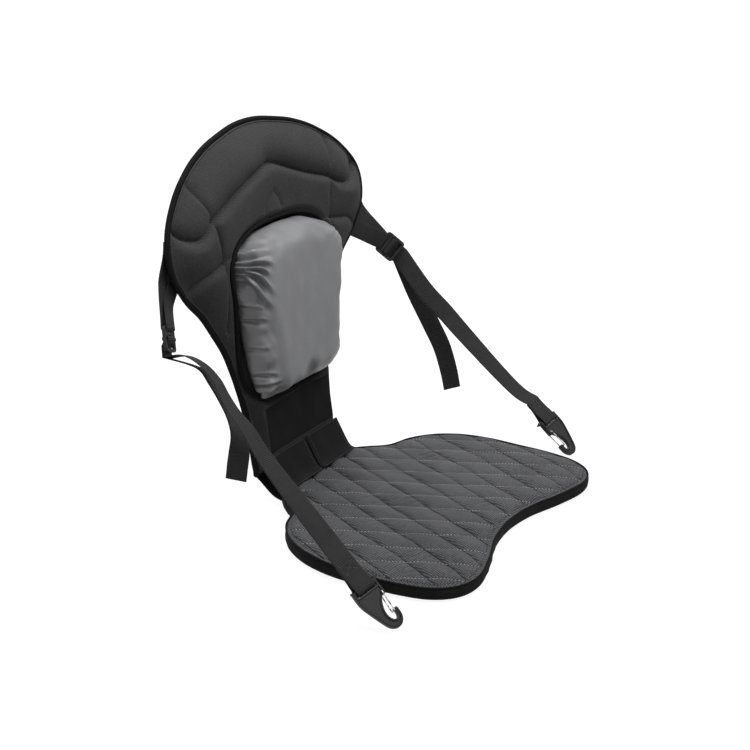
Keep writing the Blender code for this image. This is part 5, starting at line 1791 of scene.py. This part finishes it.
# %% The yoke and the sewn boxes
def yoke_legs(side):
    """Each leg's line from its sewn end past the rim, and the direction of its width there."""
    top = side.buckle @ Vector((0.0, -BUCKLE_PITCH, 0.0))
    flat = REAR_FACE - CLEARANCE * 2 - WEBBING_THICKNESS / 2
    legs = []
    for k, (x, v) in enumerate(side.spec["yoke_legs"]):
        layer = flat - 0.0012 - CLEARANCE * 3 - (0 if k else WEBBING_THICKNESS + CLEARANCE * 2)
        rim = Vector((side.sign * x, v))
        along = (rim - Vector((top.x, top.z / math.cos(BACK_RECLINE)))).normalized()
        line = [face_point(*(rim + along * run), d) for run, d in
                ((YOKE_SEWN_LENGTH, flat), (YOKE_SEWN_LENGTH * 0.6, flat), (0.0, layer),
                 (-YOKE_CLEAR, layer + 0.0005))]
        wide = Vector((along.y, -along.x)) * (1.0 if along.y * side.sign > 0 else -1.0)
        slope = Vector((1.0, 0.0, 0.0)) + FORWARD * 2 * BACK_WRAP * rim.x
        legs.append((line, (slope * wide.x + UP_FACE * wide.y).normalized()))
    return legs


def add_sewn_boxes(side, legs):
    facing = side.hook.col[2].xyz * -side.hook_under
    rows = []
    for lift, outward, far in ((-STRAP_FOLD - WEBBING_THICKNESS / 2, facing, 0.62),
                               (WEBBING_THICKNESS / 2, -facing, 0.72)):
        rows += sewn_box(lambda u, y: side.hook @ Vector((u, y, side.hook_under * lift)), outward,
                         HOOK_BAR_Y - SEWN_LOOP * 0.97, HOOK_BAR_Y - SEWN_LOOP * far)
    for line, wide in legs:
        along, lift = (line[0] - line[1]).normalized(), FORWARD * (WEBBING_THICKNESS / 2 + 0.0002)
        rows += sewn_box(lambda u, y: line[1] + along * (y - 0.006) + wide * u - lift, -FORWARD, 0.006, 0.022)
    add_piece("sewn_boxes_" + side.name, *join_rows(rows), "grey_thread", slot="black_webbing")


def add_yoke(side, legs):
    (first, first_wide), (second, second_wide) = legs
    wrap = arc(side.buckle, -BUCKLE_PITCH, BUCKLE_WRAP, 180 - side.under * 75, 180 - side.under * 285, 14)
    upper = catmull(first + [wrap[0]], 7, False)
    lower = catmull([wrap[-1]] + second[::-1], 7, False)
    held, wide = YOKE_SEWN_LENGTH + YOKE_CLEAR, -side.buckle_wide
    widths = (turned_widths(upper, first_wide, wide, held) + [wide] * (len(wrap) - 2)
              + turned_widths(lower[::-1], second_wide, wide, held)[::-1])
    add_webbing("yoke_" + side.name, upper + wrap[1:-1] + lower, widths, "yoke_strap_" + side.name)


print("yoke maker ready")

# %% [markdown]
# The buckle is a plate with three slots that the webbing fills. The hook is a plate whose face is
# sunk inside a rim, with one slot for the loop. The gate is a bent wire that springs across the
# hook's mouth, and rides on a body of its own.

# %% Buckle, hook and gate
HOOK_RIM = 0.0010
HOOK_STEP = 0.0014
GATE_BEND = 0.0016


def add_buckle(side):
    wrapped = BUCKLE_WRAP + WEBBING_THICKNESS / 2 - 0.0003
    slots = [rounded_box(WEBBING_WIDTH / 2 + wider, low, high, 0.0009) for low, high, wider in
             ((-BUCKLE_PITCH + BUCKLE_BAR / 2, -BUCKLE_PITCH + wrapped, 0.0001),
              (-wrapped, -BUCKLE_BAR / 2, 0.0001), (BUCKLE_BAR / 2, BUCKLE_PITCH - BUCKLE_BAR / 2, -0.0007))]
    outline = rounded_box(BUCKLE_WIDTH / 2, -BUCKLE_LENGTH / 2, BUCKLE_LENGTH / 2, 0.0045)
    add_plate("buckle_" + side.name, side.buckle, [outline] + slots, BUCKLE_THICKNESS, "seat",
              "ladder_buckle_" + side.name)


def add_hook(side):
    outline = catmull([(x / 1000, y / 1000) for x, y in HOOK_OUTLINE_MM], 3, True)
    bar_clear = HOOK_BAR_SETBACK - HOOK_WRAP - WEBBING_THICKNESS / 2 - 0.0002
    add_plate("hook_" + side.name, side.hook, [outline, rounded_box(0.0136, -0.0052, -bar_clear, 0.0010)],
              HOOK_THICKNESS, "hook_" + side.name, "snap_hook_" + side.name, HOOK_RIM, HOOK_STEP)


def add_gate(side):
    reach = HOOK_THICKNESS / 2 + CLEARANCE + GATE_WIRE_RADIUS
    (px, py), (ex, ey), bend = GATE_PIVOT, GATE_END, GATE_BEND
    half = [(px, py, HOOK_THICKNESS / 2 - 0.0015), (px, py, reach - bend),
            (px - 0.1 * bend, py + 0.3 * bend, reach - 0.3 * bend), (px - 0.3 * bend, py + bend, reach),
            (ex + 0.2 * bend, ey - bend, reach), (ex, ey - 0.3 * bend, reach - 0.3 * bend),
            (ex, ey, reach - bend), (ex, ey, 0.0)]
    bends = half + [(x, y, -z) for x, y, z in reversed(half[:-1])]
    wire = catmull([side.hook @ Vector(p) for p in bends], 3, False)
    sections = []
    for i, here in enumerate(wire):
        level = square_to(side.hook_wide, heading(wire, i))
        sections.append(round_section(here, level, heading(wire, i).cross(level), GATE_WIRE_RADIUS, 10))
    points, faces, _ = sweep(sections, False)
    add_piece("gate_" + side.name, points, faces, "stainless_wire", body="gate_" + side.name,
              stands_for="hook_gate_" + side.name)


for side in sides:
    legs = yoke_legs(side)
    add_adjuster(side)
    add_sewn_boxes(side, legs)
    add_yoke(side, legs)
    add_buckle(side)
    add_hook(side)
    add_gate(side)
print("sides dressed:", len(sides))

# %% [markdown]
# ## What stays from the model
# The stiff sheet inside the backrest keeps the model's own shape, and only gets its finish.

# %% Finish for the carried-over sheet
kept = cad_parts["backrest_stiffener"]
for holder in kept.material_slots:
    holder.material = FINISH["plastic_sheet"]
print("kept solid dressed")
